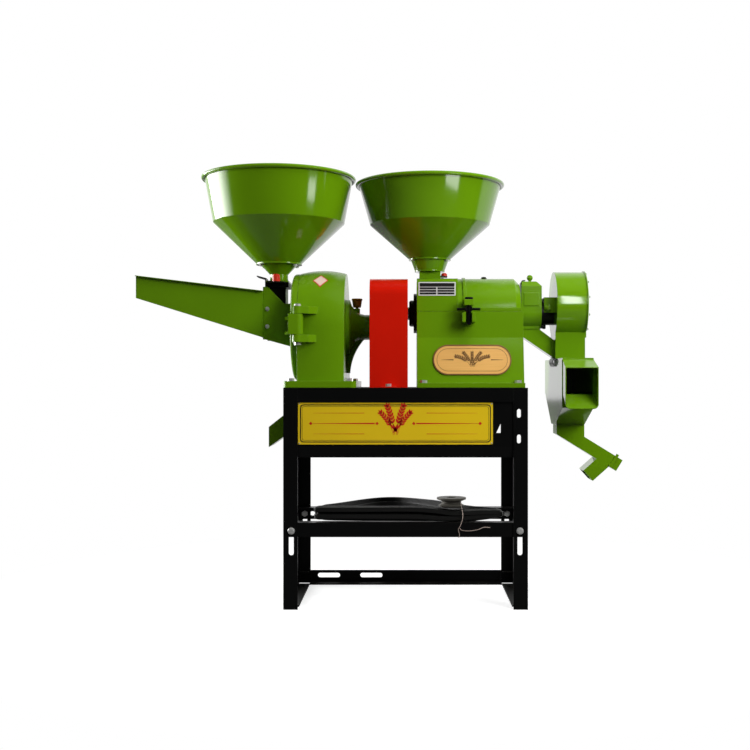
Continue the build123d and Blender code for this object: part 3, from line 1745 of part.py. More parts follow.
def rice_screen():
    """Half-round slotted screen under the roller."""
    right = mill_right - bran_inset + screen_overlap
    left = right - bran_length - 2 * screen_overlap
    screen = rod_x((left, right), rice_screen_radius + rice_screen_sheet, mill_axis)
    screen -= rod_x((left - 1, right + 1), rice_screen_radius, mill_axis)
    screen -= block(
        (left - 1, right + 1), (-mill_bore, mill_bore), (mill_axis - screen_drop, mill_axis + mill_bore)
    )
    pitch = (right - left) / screen_slot_columns
    slots = []
    for column in range(screen_slot_columns):
        for row in range(screen_slot_rows):
            angle = math.radians(-90 + (row - (screen_slot_rows - 1) / 2) * screen_slot_pitch)
            y = rice_screen_radius * math.cos(angle)
            z = mill_axis + rice_screen_radius * math.sin(angle)
            cutter = Box(pitch * 0.62, rice_screen_sheet * 6, screen_slot_width)
            slots.append(Pos(left + pitch * (column + 0.5), y, z) * Rot(math.degrees(angle), 0, 0) * cutter)
    return screen - slots


pieces["mill_body"] = mill_body()
pieces["mill_lid"] = mill_lid()
pieces["lid_hinge_pin"] = lid_hinge_pin()
pieces["lid_clamp_screw"] = lid_clamp_screw()
pieces["mill_bearing_flange"] = mill_bearing_flange()
pieces["mill_shaft"] = mill_shaft()
pieces["mill_roller"] = mill_roller()
pieces["rice_screen"] = rice_screen()
pieces["rice_knife"] = rice_knife()
mill_wheel = pulley(
    mill_pulley_right - pulley_width,
    mill_pulley_radius,
    mill_shaft_radius + press_gap,
    mill_axis,
    groove_count,
)
pieces["mill_pulley"] = mill_wheel - pulley_recess(
    mill_pulley_right - pulley_width, mill_pulley_radius, mill_axis
)


# Outlet head, fan and separator
def outlet_head():
    """Cast head at the rice end: half-round below, box with a hipped roof above."""
    x = (outlet_left, outlet_right)
    half = outlet_half_width
    head = rod_x(x, half, mill_axis)
    head += block(x, (-half, half), (mill_axis, mill_axis + outlet_box_rise))
    eaves = [(x[0], -half), (x[1], -half), (x[1], half), (x[0], half)]
    rise = outlet_roof_rise - outlet_box_rise
    ridge = [
        (x[0] + outlet_ridge_inset, -half + rise),
        (x[1] - rise, -half + rise),
        (x[1] - rise, half - rise),
        (x[0] + outlet_ridge_inset, half - rise),
    ]
    head += loft_rectangles(
        [(px, py, mill_axis + outlet_box_rise) for px, py in eaves],
        [(px, py, mill_axis + outlet_roof_rise) for px, py in ridge],
    )
    middle = (x[0] + x[1]) / 2
    side = outlet_panel_side / 2
    head += block(
        (middle - side, middle + side),
        (-half - outlet_panel_proud, -half + 1),
        (mill_axis + outlet_box_rise / 2 - side * 0.85, mill_axis + outlet_box_rise / 2 + side * 0.85),
    )
    foot_x = (middle - outlet_foot_half_length, middle + outlet_foot_half_length)
    foot_y = (-outlet_foot_half_width, outlet_foot_half_width)
    head += block(foot_x, foot_y, (mill_axis - half, mill_axis))
    wall = outlet_wall
    inside = (x[0] - 1, x[1] - wall)
    head -= rod_x(inside, half - wall, mill_axis)
    head -= block(
        (x[0] + wall, x[1] - wall),
        (-half + wall, half - wall),
        (mill_axis, mill_axis + outlet_box_rise - wall),
    )
    head -= block(
        (foot_x[0] + wall, foot_x[1] - wall),
        (foot_y[0] + wall, foot_y[1] - wall),
        (mill_axis - half - 1, mill_axis),
    )
    head -= rod_x((x[1] - wall - 1, x[1] + 1), mill_shaft_radius + loose_gap, mill_axis)
    return head - rod_z(
        (mill_axis, mill_axis + outlet_roof_rise + 1), pressure_stem_radius + running_gap, middle
    )


def pressure_gate():
    """Notched gate over the shaft, lifted by a ball knob above the roof."""
    middle = (outlet_left + outlet_right) / 2
    across = (middle - pressure_gate_thick / 2, middle + pressure_gate_thick / 2)
    half = pressure_gate_half_width
    gate = block(across, (-half, half), (mill_axis + pressure_gate_low, mill_axis + pressure_gate_high))
    notch = mill_shaft_radius + loose_gap * 2
    gate -= block(
        (across[0] - 1, across[1] + 1), (-notch, notch), (mill_axis + pressure_gate_low - 1, mill_axis)
    )
    gate -= rod_x((across[0] - 1, across[1] + 1), notch, mill_axis)
    gate &= rod_x(across, half, mill_axis) + block(
        across, (-half, half), (mill_axis, mill_axis + outlet_box_rise)
    )
    gate += rod_z(
        (mill_axis + pressure_gate_high - 1, mill_axis + pressure_knob_rise), pressure_stem_radius, middle
    )
    return gate + Pos(middle, 0, mill_axis + pressure_knob_rise) * Sphere(pressure_knob_radius)


def fan_bearing_housing():
    """Black bearing housing between the outlet head and the fan."""
    outline = [
        (outlet_right, mill_shaft_radius + loose_gap),
        (outlet_right, fan_bearing_flange),
        (outlet_right + fan_flange_thick, fan_bearing_flange),
        (outlet_right + fan_flange_thick, fan_bearing_radius),
        (fan_left, fan_bearing_radius),
        (fan_left, mill_shaft_radius + loose_gap),
    ]
    return turned_x(outline, mill_axis) - rod_x(
        fan_bearing_span(), mill_bearing_radius + press_gap, mill_axis
    )


def fan_bearing_span():
    middle = (outlet_right + fan_left) / 2
    return middle - bearing_width / 2, middle + bearing_width / 2


def fan_outline():
    """Drum and downward duct of the fan in the Y-Z plane."""
    drum = Pos(0, fan_axis) * Circle(fan_radius)
    height = fan_axis - separator_top
    duct = Pos(0, separator_top + height / 2) * Rectangle(2 * fan_duct_half_width, height)
    return drum + duct


def fan_housing():
    """Sheet fan drum, open to its cover on the right and to the duct below."""
    face = Plane((fan_left, 0, 0), x_dir=(0, 1, 0), z_dir=(1, 0, 0))
    inner = Plane((fan_left + fan_sheet, 0, 0), x_dir=(0, 1, 0), z_dir=(1, 0, 0))
    shell = extrude(face * fan_outline(), amount=fan_length)
    drum = extrude(inner * (Pos(0, fan_axis) * Circle(fan_radius - fan_sheet)), amount=fan_length)
    half = fan_duct_half_width - fan_sheet
    duct = block(
        (fan_left + fan_sheet, fan_right - fan_sheet), (-half, half), (separator_top - 1, fan_axis)
    )
    shell -= drum + duct
    shell -= rod_x((fan_left - 1, fan_left + fan_sheet + 1), mill_shaft_radius + loose_gap, mill_axis)
    mouth = rice_chute_half_width - rice_chute_sheet
    low = mill_axis - rice_chute_mouth_bottom + rice_chute_sheet * 2
    high = mill_axis - rice_chute_mouth_top - rice_chute_sheet * 2
    shell -= block((fan_left - 1, fan_left + fan_sheet + 1), (-mouth, mouth), (low, high))
    return shell + fan_saddle()


def fan_saddle():
    """Lug of the fan that sits over the bearing housing, with a cheek at the front."""
    low = mill_axis + fan_bearing_radius + face_gap
    x = (outlet_right + fan_flange_thick + face_gap, fan_left)
    half = saddle_half_width
    lug = block(x, (-half, half), (low, low + saddle_thick))
    cheek = block(x, (-half, -half + saddle_thick), (mill_axis, low + saddle_thick))
    return lug + cheek


def fan_cover():
    """Right cover plate of the fan with its air inlet."""
    cover = Pos(
        fan_right + fan_cover_thick / 2, 0, fan_axis
    ) * Rot(0, 90, 0) * Cylinder(fan_radius + fan_cover_lip, fan_cover_thick)
    cover -= block(
        (fan_right - 1, fan_right + fan_cover_thick + 1),
        (-fan_radius, fan_radius),
        (separator_top, fan_axis - fan_radius * 0.8),
    )
    cover += block(
        (fan_right, fan_right + fan_cover_thick),
        (-fan_duct_half_width, fan_duct_half_width),
        (fan_axis - fan_radius, fan_axis),
    )
    ring = rod_x(
        (fan_right, fan_right + fan_cover_thick * 2), fan_inlet_radius + fan_cover_thick, mill_axis
    )
    return cover + ring - rod_x(
        (fan_right - 1, fan_right + fan_cover_thick * 3), fan_inlet_radius, mill_axis
    )


def fan_impeller():
    """Paddle wheel of the fan on the mill shaft."""
    left = fan_left + fan_sheet + impeller_gap
    right = fan_right - impeller_gap
    wheel = rod_x((left, right), impeller_hub_radius, mill_axis)
    wheel += rod_x((left, left + impeller_blade_thick), impeller_radius * 0.8, mill_axis)
    for z, y, angle in ring_points(
        mill_axis, (impeller_hub_radius + impeller_radius - fuse_depth) / 2, impeller_blades
    ):
        blade = Box(right - left, impeller_radius - impeller_hub_radius + fuse_depth, impeller_blade_thick)
        wheel += Pos((left + right) / 2, y, z) * Rot(math.degrees(angle), 0, 0) * blade
    return wheel - rod_x((left - 1, right + 1), mill_shaft_radius + press_gap, mill_axis)


def rice_chute():
    """Slanting box chute from the outlet head into the fan's duct."""
    middle = (outlet_left + outlet_right) / 2
    left = middle - outlet_foot_half_length
    right = middle + outlet_foot_half_length
    top = mill_axis - outlet_half_width
    low = mill_axis - rice_chute_mouth_bottom
    high = mill_axis - rice_chute_mouth_top
    knee = top - (high - low) * 0.4
    outline = [(left, top), (right, top), (fan_left, high), (fan_left, low), (left, knee)]
    half = rice_chute_half_width
    sheet = rice_chute_sheet
    chute = duct_y(outline, (-half, half), sheet)
    inside = half - sheet
    chute -= block((left + sheet, right - sheet), (-inside, inside), (top - sheet - 1, top + 1))
    return chute - block(
        (fan_left - sheet - 1, fan_left + 1), (-inside, inside), (low + sheet * 2, high - sheet * 2)
    )


def separator_outline():
    """Side view of the separator: flat top, floor falling to a neck."""
    half = separator_neck_half
    return [
        (-separator_front, separator_top),
        (separator_back, separator_top),
        (separator_back, separator_top - separator_rear_drop),
        (half, separator_floor),
        (-half, separator_floor),
        (-separator_front, separator_top - separator_front_drop),
    ]


def separator_box():
    """Winnowing box under the fan: air and husk leave at the front, rice at the neck."""
    sheet = separator_sheet
    box = duct_x(separator_outline(), (fan_left, fan_right), sheet)
    inside = (fan_left + sheet, fan_right - sheet)
    duct = fan_duct_half_width - fan_sheet
    box -= block(inside, (-duct, duct), (separator_top - sheet - 1, separator_top + 1))
    box -= block(
        inside,
        (-separator_front - 1, -separator_front + sheet + 1),
        (separator_top - hood_back_bottom + sheet, separator_top - hood_back_top - sheet),
    )
    neck = separator_neck_half - sheet
    return box - block(spout_inside(), (-neck, neck), (separator_floor - 1, separator_floor + sheet * 2))


def spout_inside():
    return fan_left + spout_neck_inset + spout_sheet, fan_right - spout_sheet


def hood_section(y, x, z, corner):
    """Upright face of the hood with its two lower corners rounded."""
    plane = Plane(((x[0] + x[1]) / 2, y, (z[0] + z[1]) / 2), x_dir=(1, 0, 0), z_dir=(0, -1, 0))
    outline = Rectangle(x[1] - x[0], z[1] - z[0])
    return plane * fillet(outline.vertices().sort_by(Axis.Y)[:2], corner)


def separator_hood():
    """Flared hood on the front of the separator, open to the front."""
    back_y = -separator_front
    front_y = back_y - hood_length
    sheet = separator_sheet
    shells = []
    for inset in (0, sheet):
        left = fan_left + inset
        back = hood_section(
            back_y,
            (left, fan_right - inset),
            (separator_top - hood_back_bottom + inset, separator_top - hood_back_top - inset),
            hood_back_corner - inset,
        )
        front = hood_section(
            front_y,
            (left, fan_right + hood_flare - inset),
            (separator_top - hood_mouth_bottom + inset, separator_top - hood_mouth_top - inset),
            hood_mouth_corner - inset,
        )
        shells.append(loft([back, front], ruled=True))
    return shells[0] - shells[1]


def along(point, slope, distance):
    """Point moved down a slope given in degrees below the +X direction."""
    angle = math.radians(slope)
    return point[0] + distance * math.cos(angle), point[1] - distance * math.sin(angle)


def meeting(point, slope, other, other_slope):
    """Where two sloping lines in the X-Z plane cross."""
    a = math.radians(slope)
    b = math.radians(other_slope)
    across = math.cos(a) * -math.sin(b) + math.sin(a) * math.cos(b)
    dx = other[0] - point[0]
    dz = other[1] - point[1]
    distance = (dx * -math.sin(b) - dz * math.cos(b)) / across
    return along(point, slope, distance)


def spout_points():
    """Corners of the divided spout, clockwise from the top left of its neck."""
    left = fan_left + spout_neck_inset
    right = fan_right
    roof = (right, separator_floor - spout_neck_drop)
    roof_end = along(roof, spout_slope, spout_reach / math.cos(math.radians(spout_slope)))
    floor_end = along(roof_end, spout_slope + 90, spout_depth)
    floor_start = meeting(floor_end, spout_slope, (left, separator_floor), 90)
    branch_way = 180 - branch_slope
    branch_top = along(floor_end, spout_slope + 180, branch_offset)
    branch_low = meeting(
        floor_end,
        spout_slope,
        along(branch_top, branch_way - 90, branch_width),
        branch_way,
    )
    tip_top = along(branch_top, branch_way, branch_reach)
    tip_low = along(tip_top, branch_way - 90, branch_width)
    return {
        "neck": [(left, separator_floor), (right, separator_floor)],
        "roof": [roof, roof_end],
        "floor": [floor_end, branch_low],
        "branch": [tip_low, tip_top, branch_top],
        "start": [floor_start],
    }


def divided_spout():
    """Spout with a long chute to the right and a short branch to the left."""
    points = spout_points()
    outline = points["neck"] + points["roof"] + points["floor"] + points["branch"] + points["start"]
    half = separator_neck_half
    spout = duct_y(outline, (-half, half), spout_sheet)
    inside = half - spout_sheet
    spout -= block(
        spout_inside(), (-inside, inside), (separator_floor - spout_sheet * 2, separator_floor + 1)
    )
    chute_end = open_end(points["floor"][0], points["roof"][1])
    branch_end = open_end(points["branch"][1], points["branch"][0])
    for end in (chute_end, branch_end):
        spout -= prism_y(end, (-inside, inside))
    pivot = flap_pivot()
    hole = flap_shaft_radius + running_gap
    return spout - rod((pivot[0], -half - 1, pivot[1]), (pivot[0], half + 1, pivot[1]), hole)


def open_end(first, second):
    """Cutter that opens the end face between two corners of the spout."""
    edge = Vector(second[0] - first[0], second[1] - first[1])
    way = edge.normalized()
    out = Vector(way.Y, -way.X)
    start = Vector(*first) + way * spout_sheet
    end = Vector(*second) - way * spout_sheet
    corners = [start + out, end + out, end - out * spout_sheet * 2, start - out * spout_sheet * 2]
    return [(corner.X, corner.Y) for corner in corners]


def flap_pivot():
    """Flap shaft just above the floor, at the lower lip of the branch."""
    low = spout_points()["floor"][1]
    lifted = along(low, spout_slope - 90, spout_sheet + flap_shaft_radius + face_gap)
    return along(lifted, spout_slope, flap_shaft_radius)


def diverter_flap():
    """Flap over the branch, on a cross shaft with a lever at the front."""
    pivot = flap_pivot()
    half = separator_neck_half - spout_sheet - face_gap
    tip = along(pivot, spout_slope + 180, flap_length)
    up = along((0, 0), spout_slope - 90, flap_thick / 2)
    corners = [
        (pivot[0] + up[0], pivot[1] + up[1]),
        (tip[0] + up[0], tip[1] + up[1]),
        (tip[0] - up[0], tip[1] - up[1]),
        (pivot[0] - up[0], pivot[1] - up[1]),
    ]
    flap = prism_y(corners, (-half, half))
    front = -separator_neck_half - flap_lever_thick - face_gap
    flap += rod(
        (pivot[0], front, pivot[1]), (pivot[0], separator_neck_half + face_gap, pivot[1]), flap_shaft_radius
    )
    lever_end = along(pivot, spout_slope - 90, flap_lever)
    lever = rod(
        (pivot[0], front, pivot[1]), (pivot[0], front + flap_lever_thick, pivot[1]), flap_shaft_radius * 2
    )
    side = along((0, 0), spout_slope, flap_shaft_radius * 1.2)
    arm = [
        (pivot[0] - side[0], pivot[1] - side[1]),
        (pivot[0] + side[0], pivot[1] + side[1]),
        (lever_end[0] + side[0], lever_end[1] + side[1]),
        (lever_end[0] - side[0], lever_end[1] - side[1]),
    ]
    return flap + lever + prism_y(arm, (front, front + flap_lever_thick))


pieces["outlet_head"] = outlet_head()
pieces["pressure_gate"] = pressure_gate()
pieces["fan_bearing_housing"] = fan_bearing_housing()
pieces["fan_housing"] = fan_housing()
pieces["fan_cover"] = fan_cover()
pieces["fan_impeller"] = fan_impeller()
pieces["rice_chute"] = rice_chute()
pieces["separator_box"] = separator_box()
pieces["separator_hood"] = separator_hood()
pieces["divided_spout"] = divided_spout()
pieces["diverter_flap"] = diverter_flap()
mill_bearings = [
    bearing(span[0], span[1] - span[0], mill_bearing_radius, mill_shaft_radius, mill_axis)
    for span in (mill_bearing_span(), fan_bearing_span())
]
pieces["shaft_bearings"] = Compound(crusher_bearings + mill_bearings)

# Write every piece to its own file
os.makedirs("parts", exist_ok=True)
for name, shape in pieces.items():
    export_step(shape, f"parts/{name}.step")
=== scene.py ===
# %% [markdown]
# # A rice mill and crusher on one stand
# The machine stands on a black angle-iron frame. A tooth crusher with a long feed trough is on the left,
# an iron-roll rice mill with a fan and a winnowing box is on the right, and a red guard covers the belts
# between them. The solid model gives every piece its place. This lesson gives the pieces their paint,
# metal and rubber, and adds the small things that are too fine for the solid model: plates, rivets,
# bolts, weld beads and the bundle of belts.

# %% Load the frame
import math
import random

import bmesh
import bpy
from mathutils import Matrix, Vector


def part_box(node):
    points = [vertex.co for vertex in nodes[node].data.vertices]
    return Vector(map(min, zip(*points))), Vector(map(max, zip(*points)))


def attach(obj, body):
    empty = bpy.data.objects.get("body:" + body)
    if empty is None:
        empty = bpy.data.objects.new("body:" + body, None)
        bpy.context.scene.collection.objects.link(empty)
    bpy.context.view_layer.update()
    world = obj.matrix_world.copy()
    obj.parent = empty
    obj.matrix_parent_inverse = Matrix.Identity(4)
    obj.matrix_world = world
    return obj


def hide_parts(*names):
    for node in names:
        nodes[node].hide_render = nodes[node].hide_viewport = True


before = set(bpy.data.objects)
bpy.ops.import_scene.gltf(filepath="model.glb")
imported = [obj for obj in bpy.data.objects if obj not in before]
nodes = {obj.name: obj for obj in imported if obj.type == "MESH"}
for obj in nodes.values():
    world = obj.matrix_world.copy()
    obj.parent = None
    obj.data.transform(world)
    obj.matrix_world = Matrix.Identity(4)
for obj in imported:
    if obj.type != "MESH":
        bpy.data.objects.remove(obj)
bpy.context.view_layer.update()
MM = 0.001
print("pieces in the frame:", len(nodes))

# %% [markdown]
# ## The camera
# The picture was taken with a normal lens, straight from the front and at about the height of the table.
# The eye stands 2.9 m in front of the frame at 572 mm height. The lens axis meets the picture a little to
# the right of its middle and below it, so the sensor is shifted by a few hundredths instead of turning
# the camera, which would tilt the legs.

# %% Camera
PICTURE = 750
FOCAL_LENGTH = 1090
LENS_AXIS = (408, 381)
SENSOR = 36
EYE = (0.006, -2.910, 0.572)

camera_data = bpy.data.cameras.new("front_camera")
camera_data.sensor_width = SENSOR
camera_data.lens = SENSOR * FOCAL_LENGTH / PICTURE
camera_data.shift_x = (PICTURE / 2 - LENS_AXIS[0]) / PICTURE
camera_data.shift_y = (LENS_AXIS[1] - PICTURE / 2) / PICTURE
camera = bpy.data.objects.new("front_camera", camera_data)
bpy.context.scene.collection.objects.link(camera)
camera.location = EYE
camera.rotation_euler = (math.radians(90), 0, 0)
bpy.context.scene.camera = camera
print("lens", round(camera_data.lens, 1), "mm")

# %% [markdown]
# ## Floor and sky
# A studio sweep is white in the picture but does not throw much light back up under the hoppers. The
# floor's material asks the Light Path node who is looking: the camera sees white, bounced light sees
# grey, and mirror-like rays see white only behind the machine and not far to its left. So paint seen at a
# grazing angle turns silver, as on the real fan and hopper sides, while the front faces keep their deep
# colour. Far away the floor glows white and meets the sky without a line.

# %% Floor and sky
scene = bpy.context.scene
scene.view_settings.view_transform = "Standard"
BOUNCE_LIGHT = 0.11
MIRRORED_LIGHT = 0.03
FLOOR_REACH = 30
FLOOR_WHITE = (0.6, 0.6, 0.6, 1)
FLOOR_GREY = (0.09, 0.09, 0.09, 1)
FLOOR_LIFT = 0.66


def feed(tree, socket, value):
    """Gives an input a value, or links it to the output of another node."""
    if isinstance(value, bpy.types.NodeSocket):
        tree.links.new(value, socket)
    else:
        socket.default_value = value


def set_inputs(tree, node, **values):
    """Feeds inputs by their names, with an underscore for a space."""
    for name, value in values.items():
        feed(tree, node.inputs[name.replace("_", " ")], value)


def add_node(tree, kind, *first, **settings):
    """Adds a node, feeds its first inputs, and sets properties or further inputs by name."""
    made = tree.nodes.new(kind)
    for socket, value in zip(made.inputs, first):
        feed(tree, socket, value)
    for name, value in settings.items():
        if hasattr(made, name):
            setattr(made, name, value)
        else:
            set_inputs(tree, made, **{name: value})
    return made


def arithmetic(tree, operation, first, second):
    """Math node; each side is a socket or a number."""
    return add_node(tree, "ShaderNodeMath", first, second, operation=operation).outputs[0]


def ramp(tree, value, low, high, start=0.0, end=1.0):
    """Runs from start to end while the value runs from low to high, and stays there beyond."""
    return add_node(tree, "ShaderNodeMapRange", value, low, high, start, end).outputs[0]


def one_axis(tree, vector, axis):
    return add_node(tree, "ShaderNodeSeparateXYZ", vector).outputs[axis]


def who_looks(tree, behind):
    """Mask of rays that see white, and mask of mirror-like rays. behind says how far back a place lies."""
    path = add_node(tree, "ShaderNodeLightPath")
    mirror = arithmetic(tree, "MAXIMUM", path.outputs["Is Glossy Ray"], path.outputs["Is Transmission Ray"])
    seen = arithmetic(tree, "MULTIPLY", mirror, behind)
    return arithmetic(tree, "MAXIMUM", path.outputs["Is Camera Ray"], seen), mirror


def coordinate(tree, kind, axis):
    """One coordinate of a place, and the place itself."""
    place = add_node(tree, "ShaderNodeTexCoord").outputs[kind]
    return one_axis(tree, place, axis), place


def mix_shaders(tree, mask, first, second):
    return add_node(tree, "ShaderNodeMixShader", mask, first, second).outputs[0]


def make_floor():
    mesh = bpy.data.meshes.new("studio_floor")
    corners = [(x * FLOOR_REACH, y * FLOOR_REACH, 0) for x, y in ((-1, -1), (1, -1), (1, 1), (-1, 1))]
    mesh.from_pydata(corners, [], [(0, 1, 2, 3)])
    floor = bpy.data.objects.new("studio_floor", mesh)
    scene.collection.objects.link(floor)
    material = bpy.data.materials.new("studio_floor")
    material.use_nodes = True
    tree = material.node_tree
    tree.nodes.clear()
    back, place = coordinate(tree, "Object", "Y")
    side, _ = coordinate(tree, "Object", "X")
    not_left = ramp(tree, side, -0.9, -0.4, start=0.2)
    silver = arithmetic(tree, "MULTIPLY", ramp(tree, back, 0.2, 0.7), not_left)
    reach = add_node(tree, "ShaderNodeVectorMath", place, operation="LENGTH")
    far = ramp(tree, reach.outputs["Value"], 0.45, 1.2)
    seen, _ = who_looks(tree, silver)
    white = add_node(tree, "ShaderNodeBsdfDiffuse", Color=FLOOR_WHITE)
    grey = add_node(tree, "ShaderNodeBsdfDiffuse", Color=FLOOR_GREY)
    lift = add_node(tree, "ShaderNodeEmission", Strength=FLOOR_LIFT)
    glow = add_node(tree, "ShaderNodeEmission", Strength=1.0)
    near = add_node(tree, "ShaderNodeAddShader", white.outputs[0], lift.outputs[0])
    bright = mix_shaders(tree, far, near.outputs[0], glow.outputs[0])
    add_node(tree, "ShaderNodeOutputMaterial", mix_shaders(tree, seen, grey.outputs[0], bright))
    mesh.materials.append(material)


def make_sky():
    world = bpy.data.worlds.new("studio_sky")
    world.use_nodes = True
    scene.world = world
    tree = world.node_tree
    tree.nodes.clear()
    back, _ = coordinate(tree, "Generated", "Y")
    seen, mirror = who_looks(tree, ramp(tree, back, 0.1, 0.6))
    missing = arithmetic(tree, "MULTIPLY", mirror, BOUNCE_LIGHT - MIRRORED_LIGHT)
    dim = arithmetic(tree, "SUBTRACT", BOUNCE_LIGHT, missing)
    strength = arithmetic(tree, "MAXIMUM", seen, dim)
    background = add_node(tree, "ShaderNodeBackground", Color=(1, 1, 1, 1), Strength=strength)
    add_node(tree, "ShaderNodeOutputWorld", background.outputs[0])


make_floor()
make_sky()
print("stage set")

# %% [markdown]
# ## Lamps
# Wide fills light the machine from above, from the front right and weakly from the left, and are kept out
# of the reflections. Three boxes are there for the gloss, and none of the lamps is seen by the camera
# itself. A wide one on the left whitens the left edge of the first hopper; its strength fades towards the
# front, so the white edge is soft. A small card close to the second hopper leaves a window-like patch on
# both bands, and another one, turned away from the hoppers, gives the fan its bright bar.

# %% Soft boxes
LEFT_TARGET = (-0.5, -0.1, 1.0)
LEFT_SIZE = (2.3, 1.4)


def fade_across(data, share):
    """Dims an area lamp towards one side, over this share of its width."""
    data.use_nodes = True
    tree = data.node_tree
    place = add_node(tree, "ShaderNodeNewGeometry").outputs["Parametric"]
    strength = ramp(tree, one_axis(tree, place, "X"), 1.0, 1.0 - share)
    set_inputs(tree, tree.nodes["Emission"], Strength=strength)


def soft_box(name, place, target, size, power, mirrored=True, lighting=True, fade=0.0):
    """Area lamp in metres and watts that points from its place to a target."""
    data = bpy.data.lights.new(name, "AREA")
    data.shape = "RECTANGLE"
    data.size, data.size_y = size
    data.energy = power
    if fade:
        fade_across(data, fade)
    lamp = bpy.data.objects.new(name, data)
    lamp.location = place
    lamp.rotation_euler = (Vector(target) - Vector(place)).to_track_quat("-Z", "Y").to_euler()
    lamp.visible_glossy = mirrored
    lamp.visible_diffuse = lighting
    lamp.visible_camera = False
    scene.collection.objects.link(lamp)


soft_box("overhead_fill", (0.9, -0.6, 3.0), (0.0, 0.0, 0.6), (2.2, 1.6), 50, mirrored=False)
soft_box("front_fill", (1.6, -1.8, 1.7), (0.1, 0.0, 0.75), (1.2, 1.2), 50, mirrored=False)
soft_box("left_fill", (-2.42, 0.45, 1.1), LEFT_TARGET, LEFT_SIZE, 30, mirrored=False)
soft_box("left_box", (-2.4, 0.45, 1.1), LEFT_TARGET, LEFT_SIZE, 108, fade=0.42)
soft_box("window_card", (0.345, -0.479, 0.95), (0.051, -0.075, 0.95), (0.187, 0.065), 0.26)
soft_box("fan_card", (0.47, -0.34, 0.85), (0.65, -0.1, 0.85), (0.08, 0.14), 0.5, lighting=False)

# %% [markdown]
# ## Effects that several finishes share
# Paint, rubber and steel all need the same few things: a colour that drifts a little, a fine unevenness
# of the skin, brighter rubbed edges and dust on the upper faces. Each effect is one shader group with
# named sockets, so a finish only says how much of it it wants. The groups read object coordinates, which
# here are metres from the origin.

# %% Shader groups
VALUE = "NodeSocketFloat"
VECTOR = "NodeSocketVector"


def start_group(name, inputs, outputs):
    """Empty shader group with value inputs and named outputs."""
    group = bpy.data.node_groups.new(name, "ShaderNodeTree")
    for label, value in inputs.items():
        socket = group.interface.new_socket(label, in_out="INPUT", socket_type=VALUE)
        socket.default_value = value
    for label, kind in outputs.items():
        group.interface.new_socket(label, in_out="OUTPUT", socket_type=kind)
    return group, add_node(group, "NodeGroupInput"), add_node(group, "NodeGroupOutput")


def noise(tree, scale, detail=3.0, roughness=0.55):
    """Noise over object coordinates, at a scale that is a number or a socket."""
    place = add_node(tree, "ShaderNodeTexCoord").outputs["Object"]
    made = add_node(tree, "ShaderNodeTexNoise", Vector=place, Scale=scale, Detail=detail, Roughness=roughness)
    return made.outputs["Fac"]


def paint_skin_group():
    """Slow colour drift and the orange peel of sprayed enamel."""
    group, given, out = start_group("paint_skin", {"Peel Scale": 350.0}, {"Drift": VALUE, "Height": VALUE})
    peel = noise(group, given.outputs["Peel Scale"], 1.0)
    set_inputs(group, out, Drift=noise(group, 5.0, 4.0), Height=peel)
    return group


def cast_grain_group():
    """Sand-cast skin under the paint: soft lumps with small pits."""
    group, given, out = start_group("cast_grain", {"Scale": 160.0, "Pits": 0.3}, {"Height": VALUE})
    scale = given.outputs["Scale"]
    lumps = noise(group, scale, 4.0, 0.6)
    place = add_node(group, "ShaderNodeTexCoord").outputs["Object"]
    finer = arithmetic(group, "MULTIPLY", scale, 1.7)
    cells = add_node(group, "ShaderNodeTexVoronoi", feature="SMOOTH_F1", Vector=place, Scale=finer)
    pits = arithmetic(group, "MULTIPLY", cells.outputs["Distance"], given.outputs["Pits"])
    set_inputs(group, out, Height=arithmetic(group, "ADD", lumps, pits))
    return group


def edge_rub_group():
    """Mask of rubbed edges, and a normal that is rounded over them."""
    group, given, out = start_group(
        "edge_rub", {"Radius": 0.0015, "Breakup": 90.0}, {"Mask": VALUE, "Normal": VECTOR})
    bevel = add_node(group, "ShaderNodeBevel", samples=4, Radius=given.outputs["Radius"]).outputs[0]
    surface = add_node(group, "ShaderNodeNewGeometry").outputs["Normal"]
    facing = add_node(group, "ShaderNodeVectorMath", bevel, surface, operation="DOT_PRODUCT")
    turned = arithmetic(group, "SUBTRACT", 1.0, facing.outputs["Value"])
    patches = noise(group, given.outputs["Breakup"], 4.0, 0.7)
    breakup = ramp(group, patches, 0.45, 0.7)
    mask = arithmetic(group, "MULTIPLY", ramp(group, turned, 0.03, 0.25), breakup)
    set_inputs(group, out, Mask=mask, Normal=bevel)
    return group


def settled_dust_group():
    """Dust and meal that lie on upward faces, in uneven patches."""
    group, given, out = start_group("settled_dust", {"Amount": 0.2}, {"Mask": VALUE})
    surface = add_node(group, "ShaderNodeNewGeometry").outputs["Normal"]
    upward = ramp(group, one_axis(group, surface, "Z"), 0.45, 0.95)
    spread = ramp(group, noise(group, 22.0, 6.0, 0.65), 0.4, 0.75)
    lying = arithmetic(group, "MULTIPLY", upward, spread)
    set_inputs(group, out, Mask=arithmetic(group, "MULTIPLY", lying, given.outputs["Amount"]))
    return group


paint_skin = paint_skin_group()
cast_grain = cast_grain_group()
edge_rub = edge_rub_group()
settled_dust = settled_dust_group()
print("shader groups:", len(bpy.data.node_groups))

# %% [markdown]
# ## Enamel
# All castings and sheets wear the same bright green enamel, a shade darker on the castings; the frame is
# black and the guard red. Enamel is a dielectric with a smooth top, so a Principled shader with low
# roughness and some coat gives its gloss. On castings the sand skin shows through as soft lumps, on
# sheets only the orange peel of the spray gun.

# %% Enamel finishes
DUST = (0.42, 0.37, 0.27)
LEAF_GREEN = (0.128, 0.285, 0.0022)
LEG_BLACK = (0.0035, 0.0035, 0.0035)
SIGNAL_RED = (0.62, 0.0085, 0.0012)
finishes = {}


def group_node(tree, group, **values):
    return add_node(tree, "ShaderNodeGroup", node_tree=group, **values)


